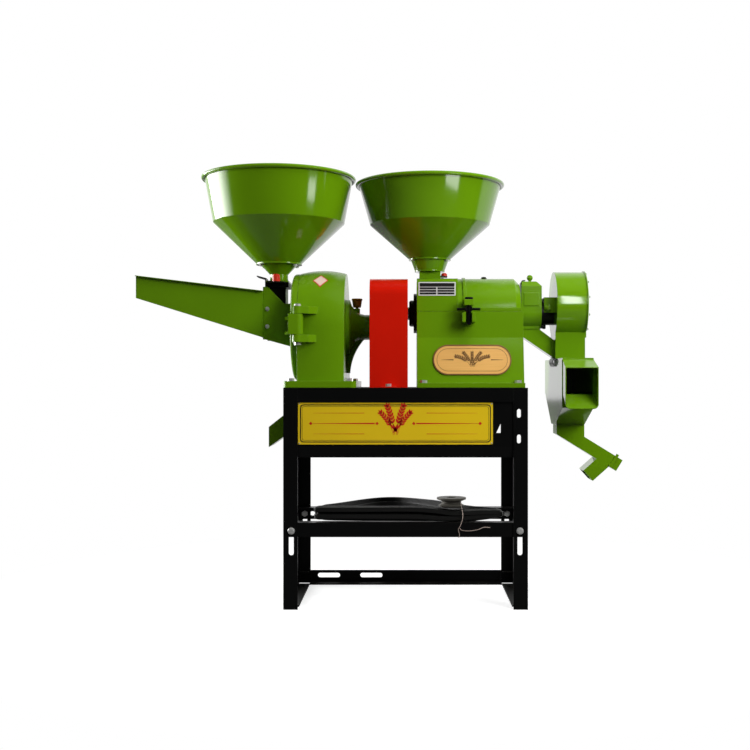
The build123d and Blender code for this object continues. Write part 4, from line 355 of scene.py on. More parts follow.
def start_material(name, roughness, metallic=0.0, **constants):
    """Starts a finish with one Principled shader; constants go straight onto its sockets."""
    material = bpy.data.materials.new(name)
    material.use_nodes = True
    finishes[name] = material
    shader = material.node_tree.nodes["Principled BSDF"]
    set_inputs(material.node_tree, shader, Roughness=roughness, Metallic=metallic, **constants)
    return material.node_tree, shader


def blend_colour(tree, mask, first, second):
    """Mixes two colours, each a socket or an RGB triple, by a mask socket."""
    made = add_node(tree, "ShaderNodeMix", mask, data_type="RGBA")
    for index, colour in ((6, first), (7, second)):
        feed(tree, made.inputs[index], (*colour, 1) if isinstance(colour, tuple) else colour)
    return made.outputs[2]


def tint(colour, factor):
    return tuple(channel * factor for channel in colour)


def drift_colour(tree, mask, colour, darker, lighter):
    """One colour that drifts between a darker and a lighter tint of itself."""
    return blend_colour(tree, mask, tint(colour, darker), tint(colour, lighter))


def drift_roughness(tree, mask, roughness, low, high):
    return ramp(tree, mask, 0.0, 1.0, roughness * low, roughness * high)


def add_relief(tree, shader, height, edges, strength, distance):
    """Bump of a height socket on the rounded normal of the edges."""
    bump = add_node(tree, "ShaderNodeBump", Strength=strength, Distance=distance, Height=height,
                    Normal=edges.outputs["Normal"])
    set_inputs(tree, shader, Normal=bump.outputs[0])


def enamel(name, colour, rubbed, roughness, cast=False, dust=0.12, rub=0.6, radius=0.0015,
           gloss=0.4, coat=0.2):
    """Sprayed enamel, over the skin of a casting or over smooth sheet."""
    tree, shader = start_material(
        name, roughness, Specular_IOR_Level=gloss, Coat_Weight=coat, Coat_Roughness=0.08)
    skin = group_node(tree, paint_skin, Peel_Scale=420.0)
    edges = group_node(tree, edge_rub, Radius=radius)
    lying = group_node(tree, settled_dust, Amount=dust)
    drift = skin.outputs["Drift"]
    body = drift_colour(tree, drift, colour, 0.82, 1.16)
    body = blend_colour(tree, lying.outputs["Mask"], body, DUST)
    worn = arithmetic(tree, "MULTIPLY", edges.outputs["Mask"], rub)
    smooth = drift_roughness(tree, drift, roughness, 0.75, 1.3)
    rough = arithmetic(tree, "ADD", smooth, lying.outputs["Mask"])
    set_inputs(tree, shader, Base_Color=blend_colour(tree, worn, body, rubbed), Roughness=rough)
    if cast:
        grain = group_node(tree, cast_grain, Scale=190.0, Pits=0.5)
        add_relief(tree, shader, grain.outputs["Height"], edges, 0.3, 0.0008)
    else:
        add_relief(tree, shader, skin.outputs["Height"], edges, 0.1, 0.0003)


enamel("sheet_green", LEAF_GREEN, (0.32, 0.46, 0.11), 0.11, gloss=0.5, coat=0.3)
enamel("cast_green", tint(LEAF_GREEN, 0.95), (0.33, 0.46, 0.1), 0.22, cast=True, radius=0.0025,
       gloss=0.35, coat=0.1)
enamel("frame_black", LEG_BLACK, (0.03, 0.03, 0.03), 0.34, dust=0.03, rub=0.4, gloss=0.2, coat=0.0)
enamel("guard_red", SIGNAL_RED, (0.75, 0.2, 0.14), 0.16, dust=0.06, gloss=0.4)
print("enamels:", ", ".join(finishes))

# %% [markdown]
# ## Metal, rubber and plastic
# Bare metal needs no coat: its colour is its reflection. Zinc-plated bolts are pale and a little cloudy,
# turned shafts have a fine grain, and raw castings are dark and rough. Belt rubber is nearly black, with
# paler edges and a fine moulded skin. The grease cup is brown moulded resin.

# %% Metal, rubber and resin finishes
def bare_metal(name, colour, roughness, grain_scale, grain_height, metallic=1.0):
    """Cloudy metal with brighter edges and the grain of its skin."""
    tree, shader = start_material(name, roughness, metallic)
    cloud = noise(tree, 60.0, 5.0, 0.65)
    edges = group_node(tree, edge_rub, Radius=0.0008)
    body = drift_colour(tree, cloud, colour, 0.75, 1.2)
    bright = blend_colour(tree, edges.outputs["Mask"], body, tint(colour, 1.5))
    rough = drift_roughness(tree, cloud, roughness, 0.7, 1.35)
    set_inputs(tree, shader, Base_Color=bright, Roughness=rough)
    grain = group_node(tree, cast_grain, Scale=grain_scale, Pits=0.4)
    add_relief(tree, shader, grain.outputs["Height"], edges, 0.4, grain_height)


def moulded(name, colour, roughness, pale):
    """Moulded resin or rubber: drifting colour, paler rubbed edges, fine skin."""
    tree, shader = start_material(name, roughness)
    skin = group_node(tree, paint_skin, Peel_Scale=900.0)
    edges = group_node(tree, edge_rub, Radius=0.001, Breakup=140.0)
    drift = skin.outputs["Drift"]
    body = drift_colour(tree, drift, colour, 0.8, 1.2)
    rubbed = blend_colour(tree, edges.outputs["Mask"], body, pale)
    rough = drift_roughness(tree, drift, roughness, 0.8, 1.25)
    set_inputs(tree, shader, Base_Color=rubbed, Roughness=rough)
    add_relief(tree, shader, skin.outputs["Height"], edges, 0.2, 0.0002)


bare_metal("zinc", (0.75, 0.75, 0.73), 0.36, 500.0, 0.0001, metallic=0.6)
bare_metal("turned_steel", (0.45, 0.45, 0.46), 0.26, 800.0, 0.0001)
bare_metal("raw_iron", (0.16, 0.15, 0.145), 0.5, 220.0, 0.0006)
moulded("belt_rubber", (0.008, 0.008, 0.0075), 0.36, (0.05, 0.05, 0.048))
moulded("cup_brown", (0.42, 0.145, 0.01), 0.34, (0.5, 0.22, 0.06))
bare_metal("dull_iron", (0.12, 0.113, 0.095), 0.5, 220.0, 0.0005, metallic=0.5)
print("finishes so far:", len(finishes))

# %% [markdown]
# ## Gates with red knobs
# Each slide gate is one solid: a black plate with a moulded knob pressed on. The knob starts where the
# plate ends, so the height of the surface decides which finish shows: a step at that height mixes black
# into red.

# %% Two-colour gates
GATE_THICK = 3.5
KNOB_REDS = ((0.58, 0.025, 0.01), (0.74, 0.045, 0.02))
GATE_BLACKS = ((0.004, 0.004, 0.004), (0.012, 0.012, 0.011))


def gate_finish(name, knob_foot):
    """Black plate below a height, red knob above it."""
    tree, shader = start_material(name, 0.32)
    height, _ = coordinate(tree, "Object", "Z")
    above = arithmetic(tree, "GREATER_THAN", height, knob_foot)
    skin = group_node(tree, paint_skin, Peel_Scale=700.0)
    drift = skin.outputs["Drift"]
    red = blend_colour(tree, drift, *KNOB_REDS)
    black = blend_colour(tree, drift, *GATE_BLACKS)
    edges = group_node(tree, edge_rub, Radius=0.001)
    set_inputs(tree, shader, Base_Color=blend_colour(tree, above, black, red),
               Roughness=ramp(tree, drift, 0.0, 1.0, 0.22, 0.42), Normal=edges.outputs["Normal"])


for gate in ("feed_gate", "mill_gate"):
    knob_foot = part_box(gate)[0].z + GATE_THICK * MM
    gate_finish(gate + "_paint", knob_foot)
    print(gate, "knob starts at", round(knob_foot / MM), "mm")

# %% [markdown]
# ## Dressing the solid pieces
# Every piece of the solid model gets one of the finishes above. The mesh itself is left as it is.

# %% Finish of each piece
dress = {
    "sheet_green": """feed_trough feed_collar feed_hopper mill_collar mill_hopper discharge_chute
        fan_housing fan_cover rice_chute separator_box separator_hood divided_spout diverter_flap""",
    "cast_green": """crusher_housing crusher_bearing_arm crusher_door feed_inlet mill_body mill_lid
        outlet_head pressure_gate""",
    "frame_black": """leg_front_left leg_front_right leg_rear_left leg_rear_right table_rail_front
        table_rail_rear table_cross_rails front_panel floor_rails shelf_rail_front shelf_rail_rear
        inlet_neck trough_gate mill_bearing_flange fan_bearing_housing lid_clamp_screw door_clamp_screw""",
    "guard_red": "belt_guard",
    "zinc": "shelf_bolts base_bolts door_hinge_pin lid_hinge_pin",
    "turned_steel": """crusher_shaft mill_shaft sieve_ring rice_screen rice_knife fan_impeller
        shaft_bearings""",
    "raw_iron": "rotor_disc stator_plate mill_roller crusher_pulley mill_pulley",
    "dull_iron": "spare_pulley",
    "belt_rubber": "spare_belts",
    "cup_brown": "grease_cup",
    "feed_gate_paint": "feed_gate",
    "mill_gate_paint": "mill_gate",
}
for finish, names in dress.items():
    for name in names.split():
        mesh = nodes[name].data
        mesh.materials.clear()
        mesh.materials.append(finishes[finish])
print("dressed:", sum(len(names.split()) for names in dress.values()), "of", len(nodes))

# %% [markdown]
# ## Small hardware
# Bolts, rivets and weld beads are what makes a welded machine look made. They are turned or swept shapes,
# so each helper draws rings of points and one more skins them: a turned shape has rings about an axis,
# hexagonal ones for bolt heads, a swept one carries its ring along a line, and a bead swells and shrinks.
# All sizes below are in millimetres and shrink to metres when the mesh is made.

# %% Helpers for small pieces
HEX_STEP = math.radians(60)
BEAD_SIDES = 8
UP = Vector((0, 0, 1))


def mesh_piece(name, bm, finish, body, crease=35):
    """Turns a mesh drawn in millimetres into a piece that rides on a body."""
    bmesh.ops.recalc_face_normals(bm, faces=bm.faces)
    bmesh.ops.scale(bm, vec=(MM, MM, MM), verts=bm.verts)
    mesh = bpy.data.meshes.new(name)
    bm.to_mesh(mesh)
    bm.free()
    mesh.shade_smooth()
    mesh.set_sharp_from_angle(angle=math.radians(crease))
    mesh.materials.append(finishes[finish])
    piece = bpy.data.objects.new(name, mesh)
    scene.collection.objects.link(piece)
    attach(piece, body)
    return piece


def aim(place, way):
    """Places a shape drawn along Z so that it points another way."""
    return Matrix.Translation(place) @ Vector(way).to_track_quat("Z", "Y").to_matrix().to_4x4()


def add_skin(bm, loops, closed=False):
    """Joins rings of corners, and ends them with flat caps or with each other."""
    sides = len(loops[0])
    pairs = list(zip(loops, loops[1:])) + ([(loops[-1], loops[0])] if closed else [])
    for low, high in pairs:
        for side in range(sides):
            after = (side + 1) % sides
            bm.faces.new((low[side], low[after], high[after], high[side]))
    if not closed:
        bm.faces.new(loops[0][::-1])
        bm.faces.new(loops[-1])


def hex_reach(apothem, angle):
    return apothem / math.cos((angle + HEX_STEP / 2) % HEX_STEP - HEX_STEP / 2)


def add_turned(bm, rings, place, segments=36, six_sided=()):
    """Adds a turned solid from (radius, height) rings; rings numbered in six_sided follow a hexagon."""
    loops = []
    for index, (radius, height) in enumerate(rings):
        loop = []
        for step in range(segments):
            angle = math.tau * step / segments
            reach = hex_reach(radius, angle) if index in six_sided else radius
            corner = Vector((reach * math.cos(angle), reach * math.sin(angle), height))
            loop.append(bm.verts.new(place @ corner))
        loops.append(loop)
    add_skin(bm, loops)


def add_bolt(bm, place, way, size, nut=False):
    """Hexagon head on a washer; with nut, the thread stands out of a nut."""
    across = 1.62 * size
    rings = [(2.2 * size, 0), (2.2 * size, 0.25 * size), (2.1 * size, 0.32 * size)]
    rings += [(across, 0.33 * size), (across, 1.5 * size), (across * 0.93, 1.75 * size)]
    if nut:
        rings += [(size, 1.76 * size), (size, 2.4 * size), (size * 0.8, 2.6 * size)]
    else:
        rings += [(across * 0.55, 1.8 * size)]
    add_turned(bm, rings, aim(place, way), 36, (3, 4))


def add_rivet(bm, place, way, radius):
    shares = ((1, 0), (0.96, 0.18), (0.78, 0.42), (0.42, 0.56))
    add_turned(bm, [(radius * r, radius * h) for r, h in shares], aim(place, way), 20)


def add_sweep(bm, points, outline, closed=False, up=UP):
    """Carries an outline of (across, upward) points along a line of points."""
    loops = []
    count = len(points)
    for index, point in enumerate(points):
        ahead = points[(index + 1) % count] if closed or index + 1 < count else point
        behind = points[index - 1] if closed or index else point
        run = (ahead - behind).normalized()
        across = run.cross(up).normalized()
        rise = across.cross(run).normalized()
        loops.append([bm.verts.new(point + across * a + rise * b) for a, b in outline])
    add_skin(bm, loops, closed)


def ring_outline(radius, sides=BEAD_SIDES):
    angles = [math.tau * k / sides for k in range(sides)]
    return [(radius * math.cos(angle), radius * math.sin(angle)) for angle in angles]


def add_bead(bm, start, end, radius, seed):
    """Weld bead: a run of overlapping ripples, each a little different."""
    dice = random.Random(seed)
    start, end = Vector(start), Vector(end)
    length = (end - start).length
    halves = 2 * max(4, int(length / (radius * 0.8)))
    way = (end - start).normalized()
    across = way.cross(UP if abs(way.z) < 0.9 else Vector((0, 1, 0))).normalized()
    rise = across.cross(way)
    loops = []
    for index in range(halves + 1):
        swell = 1.0 if index % 2 else 0.8
        ends = 0.45 if index in (0, halves) else 1.0
        reach = radius * swell * ends * dice.uniform(0.9, 1.12)
        centre = start + way * (length * index / halves)
        ring = [centre + across * a * reach + rise * b * reach for a, b in ring_outline(1.0)]
        loops.append([bm.verts.new(corner) for corner in ring])
    add_skin(bm, loops)


print("helpers ready")

# %% [markdown]
# ## Bolts and rivets
# The hoppers stand on bolted flanges, the inlet has two studs on each side, and the fan sits in a saddle
# held by one painted bolt on each cheek. Bolts that share a body are one mesh, because nothing moves
# between them.

# %% Bolts, studs and rivets
FEED_HOPPER_X, MILL_HOPPER_X = -338, 64
FLANGE_THICK = 4
INLET_STUD_X, INLET_HALF_WIDTH = -363, 52
FAN_SADDLE_X, FAN_SADDLE_HALF, FAN_SADDLE_Z = 374, 40, 763
FAN_COVER_X, FAN_AXIS_Z, COVER_RIVET_RING = 477, 774, 84
COVER_RIVETS = 10


def flange_bolts(name, centre_x, ring, level, size, body):
    """Four bolts from below with nuts on top, round a hopper's flange."""
    bm = bmesh.new()
    for degrees in (35, 145, 215, 325):
        angle = math.radians(degrees)
        x, y = centre_x + ring * math.cos(angle), ring * math.sin(angle)
        add_bolt(bm, (x, y, level), (0, 0, -1), size)
        add_bolt(bm, (x, y, level + FLANGE_THICK), (0, 0, 1), size * 0.9, nut=True)
    mesh_piece(name, bm, "zinc", body)


flange_bolts("feed_flange_bolts", FEED_HOPPER_X, 54.5, 881.2, 2.6, "door")
flange_bolts("mill_flange_bolts", MILL_HOPPER_X, 52.6, 893, 2.0, "lid")

studs = bmesh.new()
cheek_bolts = bmesh.new()
for way in (-1, 1):
    for height in (715, 761):
        add_bolt(studs, (INLET_STUD_X, INLET_HALF_WIDTH * way, height), (0, way, 0), 2.6, nut=True)
    add_bolt(cheek_bolts, (FAN_SADDLE_X, FAN_SADDLE_HALF * way, FAN_SADDLE_Z), (0, way, 0), 4.5, nut=True)
mesh_piece("inlet_studs", studs, "zinc", "door")
mesh_piece("fan_cheek_bolts", cheek_bolts, "sheet_green", "frame")

cover_rivets = bmesh.new()
for step in range(COVER_RIVETS):
    angle = math.radians(-52 + 284 * step / (COVER_RIVETS - 1))
    y, z = COVER_RIVET_RING * math.cos(angle), FAN_AXIS_Z + COVER_RIVET_RING * math.sin(angle)
    add_rivet(cover_rivets, (FAN_COVER_X, y, z), (1, 0, 0), 3.2)
mesh_piece("fan_cover_rivets", cover_rivets, "sheet_green", "frame")
print("bolts and rivets done")

# %% [markdown]
# ## Oil plug, set screw, latch, gate stop and grease cap
# Four small black fittings sit round the mill: an oil plug on top of the lid, a knurled screw that holds
# the rice chute, a spring latch on the shoulder of the winnowing box and a bent stop beside the pressure
# gate. The latch is a wide black strap that also stands for the shade in the gap where the rice chute
# enters the box, so part of its black is painted shade. The brown cap of the crusher's grease cup is wider
# than the solid one, so it is turned here to the height of that cup and replaces it.

# %% Black fittings
PLUG_PLACE = (208, 0, 843.6)
PLUG_RINGS = [(9, -1), (9, 1.5), (6.5, 2.2), (6.5, 4.6), (5.4, 5.6), (2, 6)]
SCREW_PLACE = (358, -22, 716)
SCREW_RINGS = [(3, 0), (3, 4), (6.4, 4.4), (6.4, 11), (5.4, 12.2), (2, 12.4)]
LATCH_Y, LATCH_SHADE_WIDTH = -14, 74
CUP_BOWL = 24
CUP_RADIUS = 14.3


def add_plate_path(bm, points, width, thick, across):
    """Bent strap along a line of points in one plane, drawn out to both sides along across."""
    across = Vector(across).normalized()
    sides = []
    for offset in (-width / 2, width / 2):
        for lift in (0, thick):
            row = []
            for index, point in enumerate(points):
                ahead = Vector(points[min(index + 1, len(points) - 1)])
                behind = Vector(points[max(index - 1, 0)])
                normal = (ahead - behind).normalized().cross(across)
                row.append(bm.verts.new(Vector(point) + across * offset + normal * lift))
            sides.append(row)
    low_near, high_near, low_far, high_far = sides
    around = (low_near, high_near, high_far, low_far)
    for step in range(len(points) - 1):
        for first, second in zip(around, around[1:] + around[:1]):
            bm.faces.new((first[step], first[step + 1], second[step + 1], second[step]))
    for step in (0, len(points) - 1):
        bm.faces.new([row[step] for row in around])


plug = bmesh.new()
add_turned(plug, PLUG_RINGS, aim(PLUG_PLACE, (0, 0, 1)), 32)
mesh_piece("lid_oil_plug", plug, "frame_black", "lid")

screw = bmesh.new()
add_turned(screw, SCREW_RINGS, aim(SCREW_PLACE, (1, 0, 0)), 24)
mesh_piece("chute_set_screw", screw, "frame_black", "frame")

# Painted shade: the black latch strap is drawn as wide as the dark, shaded gap under the rice chute's end.
latch = bmesh.new()
strap = [(x, LATCH_Y, z) for x, z in ((391.6, 611), (388.4, 616), (386.5, 624), (389, 630.5), (395, 632))]
add_plate_path(latch, strap, LATCH_SHADE_WIDTH, 1.6, (0, 1, 0))
for way in (-1, 1):
    add_rivet(latch, (387.5, LATCH_Y + 26 * way, 619), (-1, 0, 0.3), 3)
mesh_piece("separator_latch_and_shade", latch, "frame_black", "frame")

cup_low, cup_high = (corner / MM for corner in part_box("grease_cup"))
cup_height = cup_high.z - cup_low.z
cup_stem = cup_height - CUP_BOWL
cup_foot = ((cup_low.x + cup_high.x) / 2, (cup_low.y + cup_high.y) / 2, cup_low.z)
cup = bmesh.new()
cup_rings = [(4, 0), (4, cup_stem), (9.4, cup_stem + 0.3), (10.6, cup_stem + 1.6), (13.2, cup_height - 5)]
cup_rings += [(CUP_RADIUS, cup_height - 4.4), (CUP_RADIUS, cup_height - 0.8)]
cup_rings += [(13.6, cup_height), (11.5, cup_height)]
add_turned(cup, cup_rings, aim(cup_foot, (0, 0, 1)), 48)
grease_cap = mesh_piece("grease_cap", cup, "cup_brown", "grease_screw")
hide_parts("grease_cup")

stop = bmesh.new()
left_stop = [(x, -20, z) for x, z in ((306, 822), (306, 831), (309, 836.5), (316, 837))]
right_stop = [(x, -12, z) for x, z in ((354, 819), (354, 828), (350, 834), (346, 833))]
add_plate_path(stop, left_stop, 18, 2, (0, 1, 0))
add_plate_path(stop, right_stop, 10, 2, (0, 1, 0))
mesh_piece("pressure_gate_stop", stop, "frame_black", "frame")
print("fittings done")

# %% [markdown]
# ## Plates
# Four plates are fixed to the machine: a long yellow one on the front panel, a tan oval one on the mill,
# a small black data plate on the lid and a sticker on the crusher. They are thin plates with their print
# as raised ink, so the edges of the print stay sharp at any distance. The print is only borders, lines,
# blank fields and ears of rice.

# %% Plate finishes
BRUSHED = (14.0, 300.0, 420.0)


def printed(name, colour, roughness, fade, streak=0.0):
    """Sheet metal with a printed or lacquered face: soft stains and, where asked, brushed streaks along X."""
    tree, shader = start_material(name, roughness, Coat_Weight=0.2, Coat_Roughness=0.15)
    skin = group_node(tree, paint_skin, Peel_Scale=1200.0)
    edges = group_node(tree, edge_rub, Radius=0.0006, Breakup=160.0)
    drift = skin.outputs["Drift"]
    body = drift_colour(tree, drift, colour, 0.9, 1.08)
    if streak:
        place = add_node(tree, "ShaderNodeTexCoord").outputs["Object"]
        stretch = add_node(tree, "ShaderNodeMapping", Vector=place, Scale=BRUSHED).outputs[0]
        lines = add_node(tree, "ShaderNodeTexNoise", Vector=stretch, Scale=1.0, Detail=5.0, Roughness=0.6)
        body = blend_colour(tree, arithmetic(tree, "MULTIPLY", lines.outputs["Fac"], streak), body, fade)
    faded = blend_colour(tree, edges.outputs["Mask"], body, fade)
    rough = drift_roughness(tree, drift, roughness, 0.8, 1.3)
    set_inputs(tree, shader, Base_Color=faded, Roughness=rough)
    add_relief(tree, shader, skin.outputs["Height"], edges, 0.15, 0.0001)


printed("sign_yellow", (0.8, 0.55, 0.01), 0.32, (0.85, 0.72, 0.3))
printed("ink_black", (0.012, 0.011, 0.01), 0.4, (0.1, 0.1, 0.1))
printed("ink_red", (0.62, 0.018, 0.008), 0.36, (0.7, 0.25, 0.2))
printed("ink_white", (0.74, 0.74, 0.72), 0.36, (0.6, 0.6, 0.58))
printed("sticker_blush", (0.82, 0.6, 0.52), 0.36, (0.6, 0.5, 0.46))
printed("badge_tan", (0.86, 0.5, 0.15), 0.34, (0.62, 0.3, 0.07), streak=0.75)
printed("badge_brown", (0.2, 0.1, 0.03), 0.4, (0.5, 0.34, 0.14))
print("finishes so far:", len(finishes))

# %% [markdown]
# ## Drawing on a plate
# Every plate is drawn flat, with u to the right and v up, and a function says where a point of the
# drawing lies on the machine. So the same outlines serve the upright sign, the leaning badge and the
# sticker on the round drum.

# %% Plate drawing helpers
GRAIN_SHAPE = ((0, 0.06), (0.2, 0.36), (0.45, 0.5), (0.7, 0.38), (0.9, 0.14))
STALK_STEPS = 12
FIRST_GRAIN = 5


def rounded(half_u, half_v, corner, steps=8):
    """Outline of a rectangle with round corners, centred on zero."""
    outline = []
    for turn, (sign_u, sign_v) in enumerate(((1, 1), (-1, 1), (-1, -1), (1, -1))):
        for step in range(steps + 1):
            angle = math.radians(90 * (turn + step / steps))
            outline.append((sign_u * (half_u - corner) + corner * math.cos(angle),
                            sign_v * (half_v - corner) + corner * math.sin(angle)))
    return outline


def add_slab(bm, outline, low, high, surface):
    """Closed slab over a convex outline between two heights above the surface."""
    add_skin(bm, [[bm.verts.new(surface(u, v, lift)) for u, v in outline] for lift in (low, high)])


def add_band(bm, outer, inner, low, high, surface):
    """Closed frame between two outlines of equal count."""
    rows = [[bm.verts.new(surface(u, v, lift)) for u, v in outline]
            for outline, lift in ((outer, low), (outer, high), (inner, high), (inner, low))]
    add_skin(bm, rows, closed=True)


def grain_outline(root, way, length, width):
    """Almond shape of one grain, starting at its root."""
    root = Vector(root)
    way = Vector(way).normalized()
    side = Vector((-way.y, way.x))
    right = [root + way * length * s - side * width * r for s, r in GRAIN_SHAPE]
    left = [root + way * length * s + side * width * r for s, r in reversed(GRAIN_SHAPE)]
    return [tuple(p) for p in right + [root + way * length] + left]


def add_ear(bm, root, lean, length, grains, low, high, surface):
    """Ear of rice: a bowed stalk with grains in pairs and one blade of leaf."""
    def add_grain(start, way, long, wide):
        add_slab(bm, grain_outline(start, way, length * long, length * wide), low, high, surface)

    stalk = []
    for step in range(STALK_STEPS + 1):
        angle = math.radians(90 - lean * (0.3 + step / STALK_STEPS))
        start = stalk[-1] if stalk else Vector(root)
        stalk.append(start + Vector((math.cos(angle), math.sin(angle))) * (length / STALK_STEPS))
    for first, second in zip(stalk, stalk[1:]):
        way = (second - first).normalized()
        side = Vector((-way.y, way.x)) * length * 0.008
        strip = (first - side, second - side, second + side, first + side)
        add_slab(bm, [tuple(p) for p in strip], low, high, surface)
    for pair in range(grains):
        spot = FIRST_GRAIN + pair * (STALK_STEPS - FIRST_GRAIN) / (grains - 1)
        index = min(int(spot), STALK_STEPS - 1)
        way = (stalk[index + 1] - stalk[index]).normalized()
        for turn in (38, -38):
            swung = Matrix.Rotation(math.radians(turn), 2) @ way
            add_grain(stalk[index].lerp(stalk[index + 1], spot - index), swung, 0.19, 0.085)
    add_grain(stalk[-1], way, 0.2, 0.085)
    leaf_turn = Matrix.Rotation(math.radians(46 if lean > 0 else -46), 2)
    add_grain(stalk[1], leaf_turn @ (stalk[3] - stalk[1]).normalized(), 0.5, 0.07)


def add_taper(bm, side, ends, halves, low, high, surface, level=0):
    """Line that thins out from one end to the other, on the left (-1) or right (1) of the middle."""
    (near, far), (wide, thin) = ends, halves
    line = [(side * near, level - wide), (side * far, level - thin), (side * far, level + thin),
            (side * near, level + wide)]
    add_slab(bm, line[::side], low, high, surface)


print("plate helpers ready")

# %% [markdown]
# ## The yellow sign
# It fills the front panel from the left leg to the small cable hole. Two black lines with round corners
# run inside its edge. The middle carries a sheaf of rice, which is a common farm ornament, between lines
# that thin out to the sides.

# %% Yellow sign
SIGN_X, SIGN_Z = (-269.4, 218.5), (413, 518.4)
SIGN_FACE_Y = -181.02
SIGN_THICK, SIGN_INK, SIGN_EAR_INK = 1.0, 1.12, 1.14
sign_half = ((SIGN_X[1] - SIGN_X[0]) / 2, (SIGN_Z[1] - SIGN_Z[0]) / 2)
sign_middle = ((SIGN_X[0] + SIGN_X[1]) / 2, (SIGN_Z[0] + SIGN_Z[1]) / 2)


def on_sign(u, v, lift):
    return Vector((sign_middle[0] + u, SIGN_FACE_Y - lift, sign_middle[1] + v))


def sign_line(inset, corner):
    return rounded(sign_half[0] - inset, sign_half[1] - inset, corner)


plate = bmesh.new()
add_slab(plate, rounded(*sign_half, 3), 0, SIGN_THICK, on_sign)
mesh_piece("sign_plate", plate, "sign_yellow", "frame")

border = bmesh.new()
add_band(border, sign_line(5, 9), sign_line(7.6, 7), SIGN_THICK, SIGN_INK, on_sign)
add_band(border, sign_line(10, 6), sign_line(10.9, 5.5), SIGN_THICK, SIGN_INK, on_sign)
mesh_piece("sign_border", border, "ink_black", "frame")

sheaf = bmesh.new()
for lean, reach in ((-34, 62), (-16, 70), (16, 70), (34, 62)):
    add_ear(sheaf, (lean * 0.12, -34), lean, reach, 6, SIGN_THICK, SIGN_EAR_INK, on_sign)
for side in (-1, 1):
    add_taper(sheaf, side, (52, 206), (1.8, 0.4), SIGN_THICK, SIGN_INK, on_sign)
    for u in (side * 46, side * 212):
        diamond = [(u + 4.5, 0), (u, 4.5), (u - 4.5, 0), (u, -4.5)]
        add_slab(sheaf, diamond, SIGN_THICK, SIGN_INK, on_sign)
    for level in (-26, 26):
        add_taper(sheaf, side, (78, 206), (0.7, 0.25), SIGN_THICK, SIGN_INK, on_sign, level)
mesh_piece("sign_sheaf", sheaf, "ink_red", "frame")

corner_rivets = bmesh.new()
rivet_u, rivet_v = sign_half[0] - 3.2, sign_half[1] - 3.2
for u in (-rivet_u, rivet_u):
    for v in (-rivet_v, rivet_v):
        add_rivet(corner_rivets, on_sign(u, v, SIGN_THICK), (0, -1, 0), 1.9)
mesh_piece("sign_rivets", corner_rivets, "zinc", "frame", 50)
print("sign", [round(2 * half) for half in sign_half], "mm")

# %% [markdown]
# ## The oval badge
# A tan lacquered plate with brushed grain sits on the leaning front of the mill body. Its edge is a
# darker rolled rim, and a fan of rice ears is printed in its middle. The surface function leans with the
# casting, so the badge lies flat on it.

# %% Oval badge
BADGE_MIDDLE = Vector((171, -107.4, 626))
BADGE_THICK = 2.2
LEAN_UP = Vector((0, 25, 117)).normalized()
LEAN_OUT = Vector((0, -117, 25)).normalized()


def on_badge(u, v, lift):
    return BADGE_MIDDLE + Vector((u, 0, 0)) + LEAN_UP * v + LEAN_OUT * lift


def badge_line(half_u, half_v):
    """Oval whose ends are nearly half circles."""
    return rounded(half_u, half_v, half_v - 0.5, 16)


badge = bmesh.new()
add_slab(badge, badge_line(98, 37), 0, BADGE_THICK, on_badge)
mesh_piece("badge_plate", badge, "badge_tan", "frame")

rim = bmesh.new()
add_band(rim, badge_line(101, 40), badge_line(97.8, 36.8), 0, 3.0, on_badge)
add_band(rim, badge_line(91, 30), badge_line(90, 29), BADGE_THICK, 2.4, on_badge)
for lean, reach in ((-62, 46), (-32, 40), (0, 36), (32, 40), (62, 46)):
    add_ear(rim, (lean * 0.05, -22), lean, reach, 6, BADGE_THICK, 2.45, on_badge)
for side in (-1, 1):
    add_taper(rim, side, (48, 80), (1.4, 0.3), BADGE_THICK, 2.42, on_badge)
mesh_piece("badge_rim", rim, "badge_brown", "frame")
print("badge on the leaning face at", [round(c) for c in BADGE_MIDDLE])

# %% [markdown]
# ## Data plate and sticker
# The data plate on the lid has black fields between white lines, all left empty. The sticker on the drum
# is a small lozenge; its surface function wraps it round the crown, so it has no gap at its edges.

# %% Data plate and sticker
PLATE_X, PLATE_FACE_Y, PLATE_Z = 81, -95.02, 810
PLATE_THICK, PLATE_INK = 0.8, 0.9
FIELD_HEIGHT = 5.2
STICKER_X, STICKER_DEGREES = -220, 51
DRUM_AXIS, DRUM_MIDDLE, DRUM_CROWN, DRUM_EDGE, DRUM_HALF_WIDTH = 715, -217, 150, 142, 60
crown_sag = DRUM_CROWN - DRUM_EDGE
crown_bow = (DRUM_HALF_WIDTH ** 2 + crown_sag ** 2) / (2 * crown_sag)


def on_lid(u, v, lift):
    return Vector((PLATE_X + u, PLATE_FACE_Y - lift, PLATE_Z + v))


def add_field(bm, left, right, low, high):
    outline = [(left, low), (right, low), (right, high), (left, high)]
    add_slab(bm, outline, PLATE_THICK, PLATE_INK, on_lid)


data_plate = bmesh.new()
add_slab(data_plate, rounded(48, 17.5, 1.5), 0, PLATE_THICK, on_lid)
mesh_piece("data_plate", data_plate, "ink_white", "lid")
fields = bmesh.new()
add_field(fields, -45, 45, 5.4, 15)
for row in (-14.6, -7.9, -1.2):
    add_field(fields, -45, -2, row, row + FIELD_HEIGHT)
    add_field(fields, 1, 45, row, row + FIELD_HEIGHT)
mesh_piece("data_plate_fields", fields, "ink_black", "lid")


def on_drum(u, v, lift):
    """Point on the crowned drum: u along the shaft, v round the rim from the sticker's middle."""
    x = STICKER_X + u
    radius = DRUM_CROWN - crown_bow + math.sqrt(crown_bow ** 2 - (x - DRUM_MIDDLE) ** 2) + lift
    angle = math.radians(STICKER_DEGREES) + v / DRUM_CROWN
    return Vector((x, -radius * math.cos(angle), DRUM_AXIS + radius * math.sin(angle)))


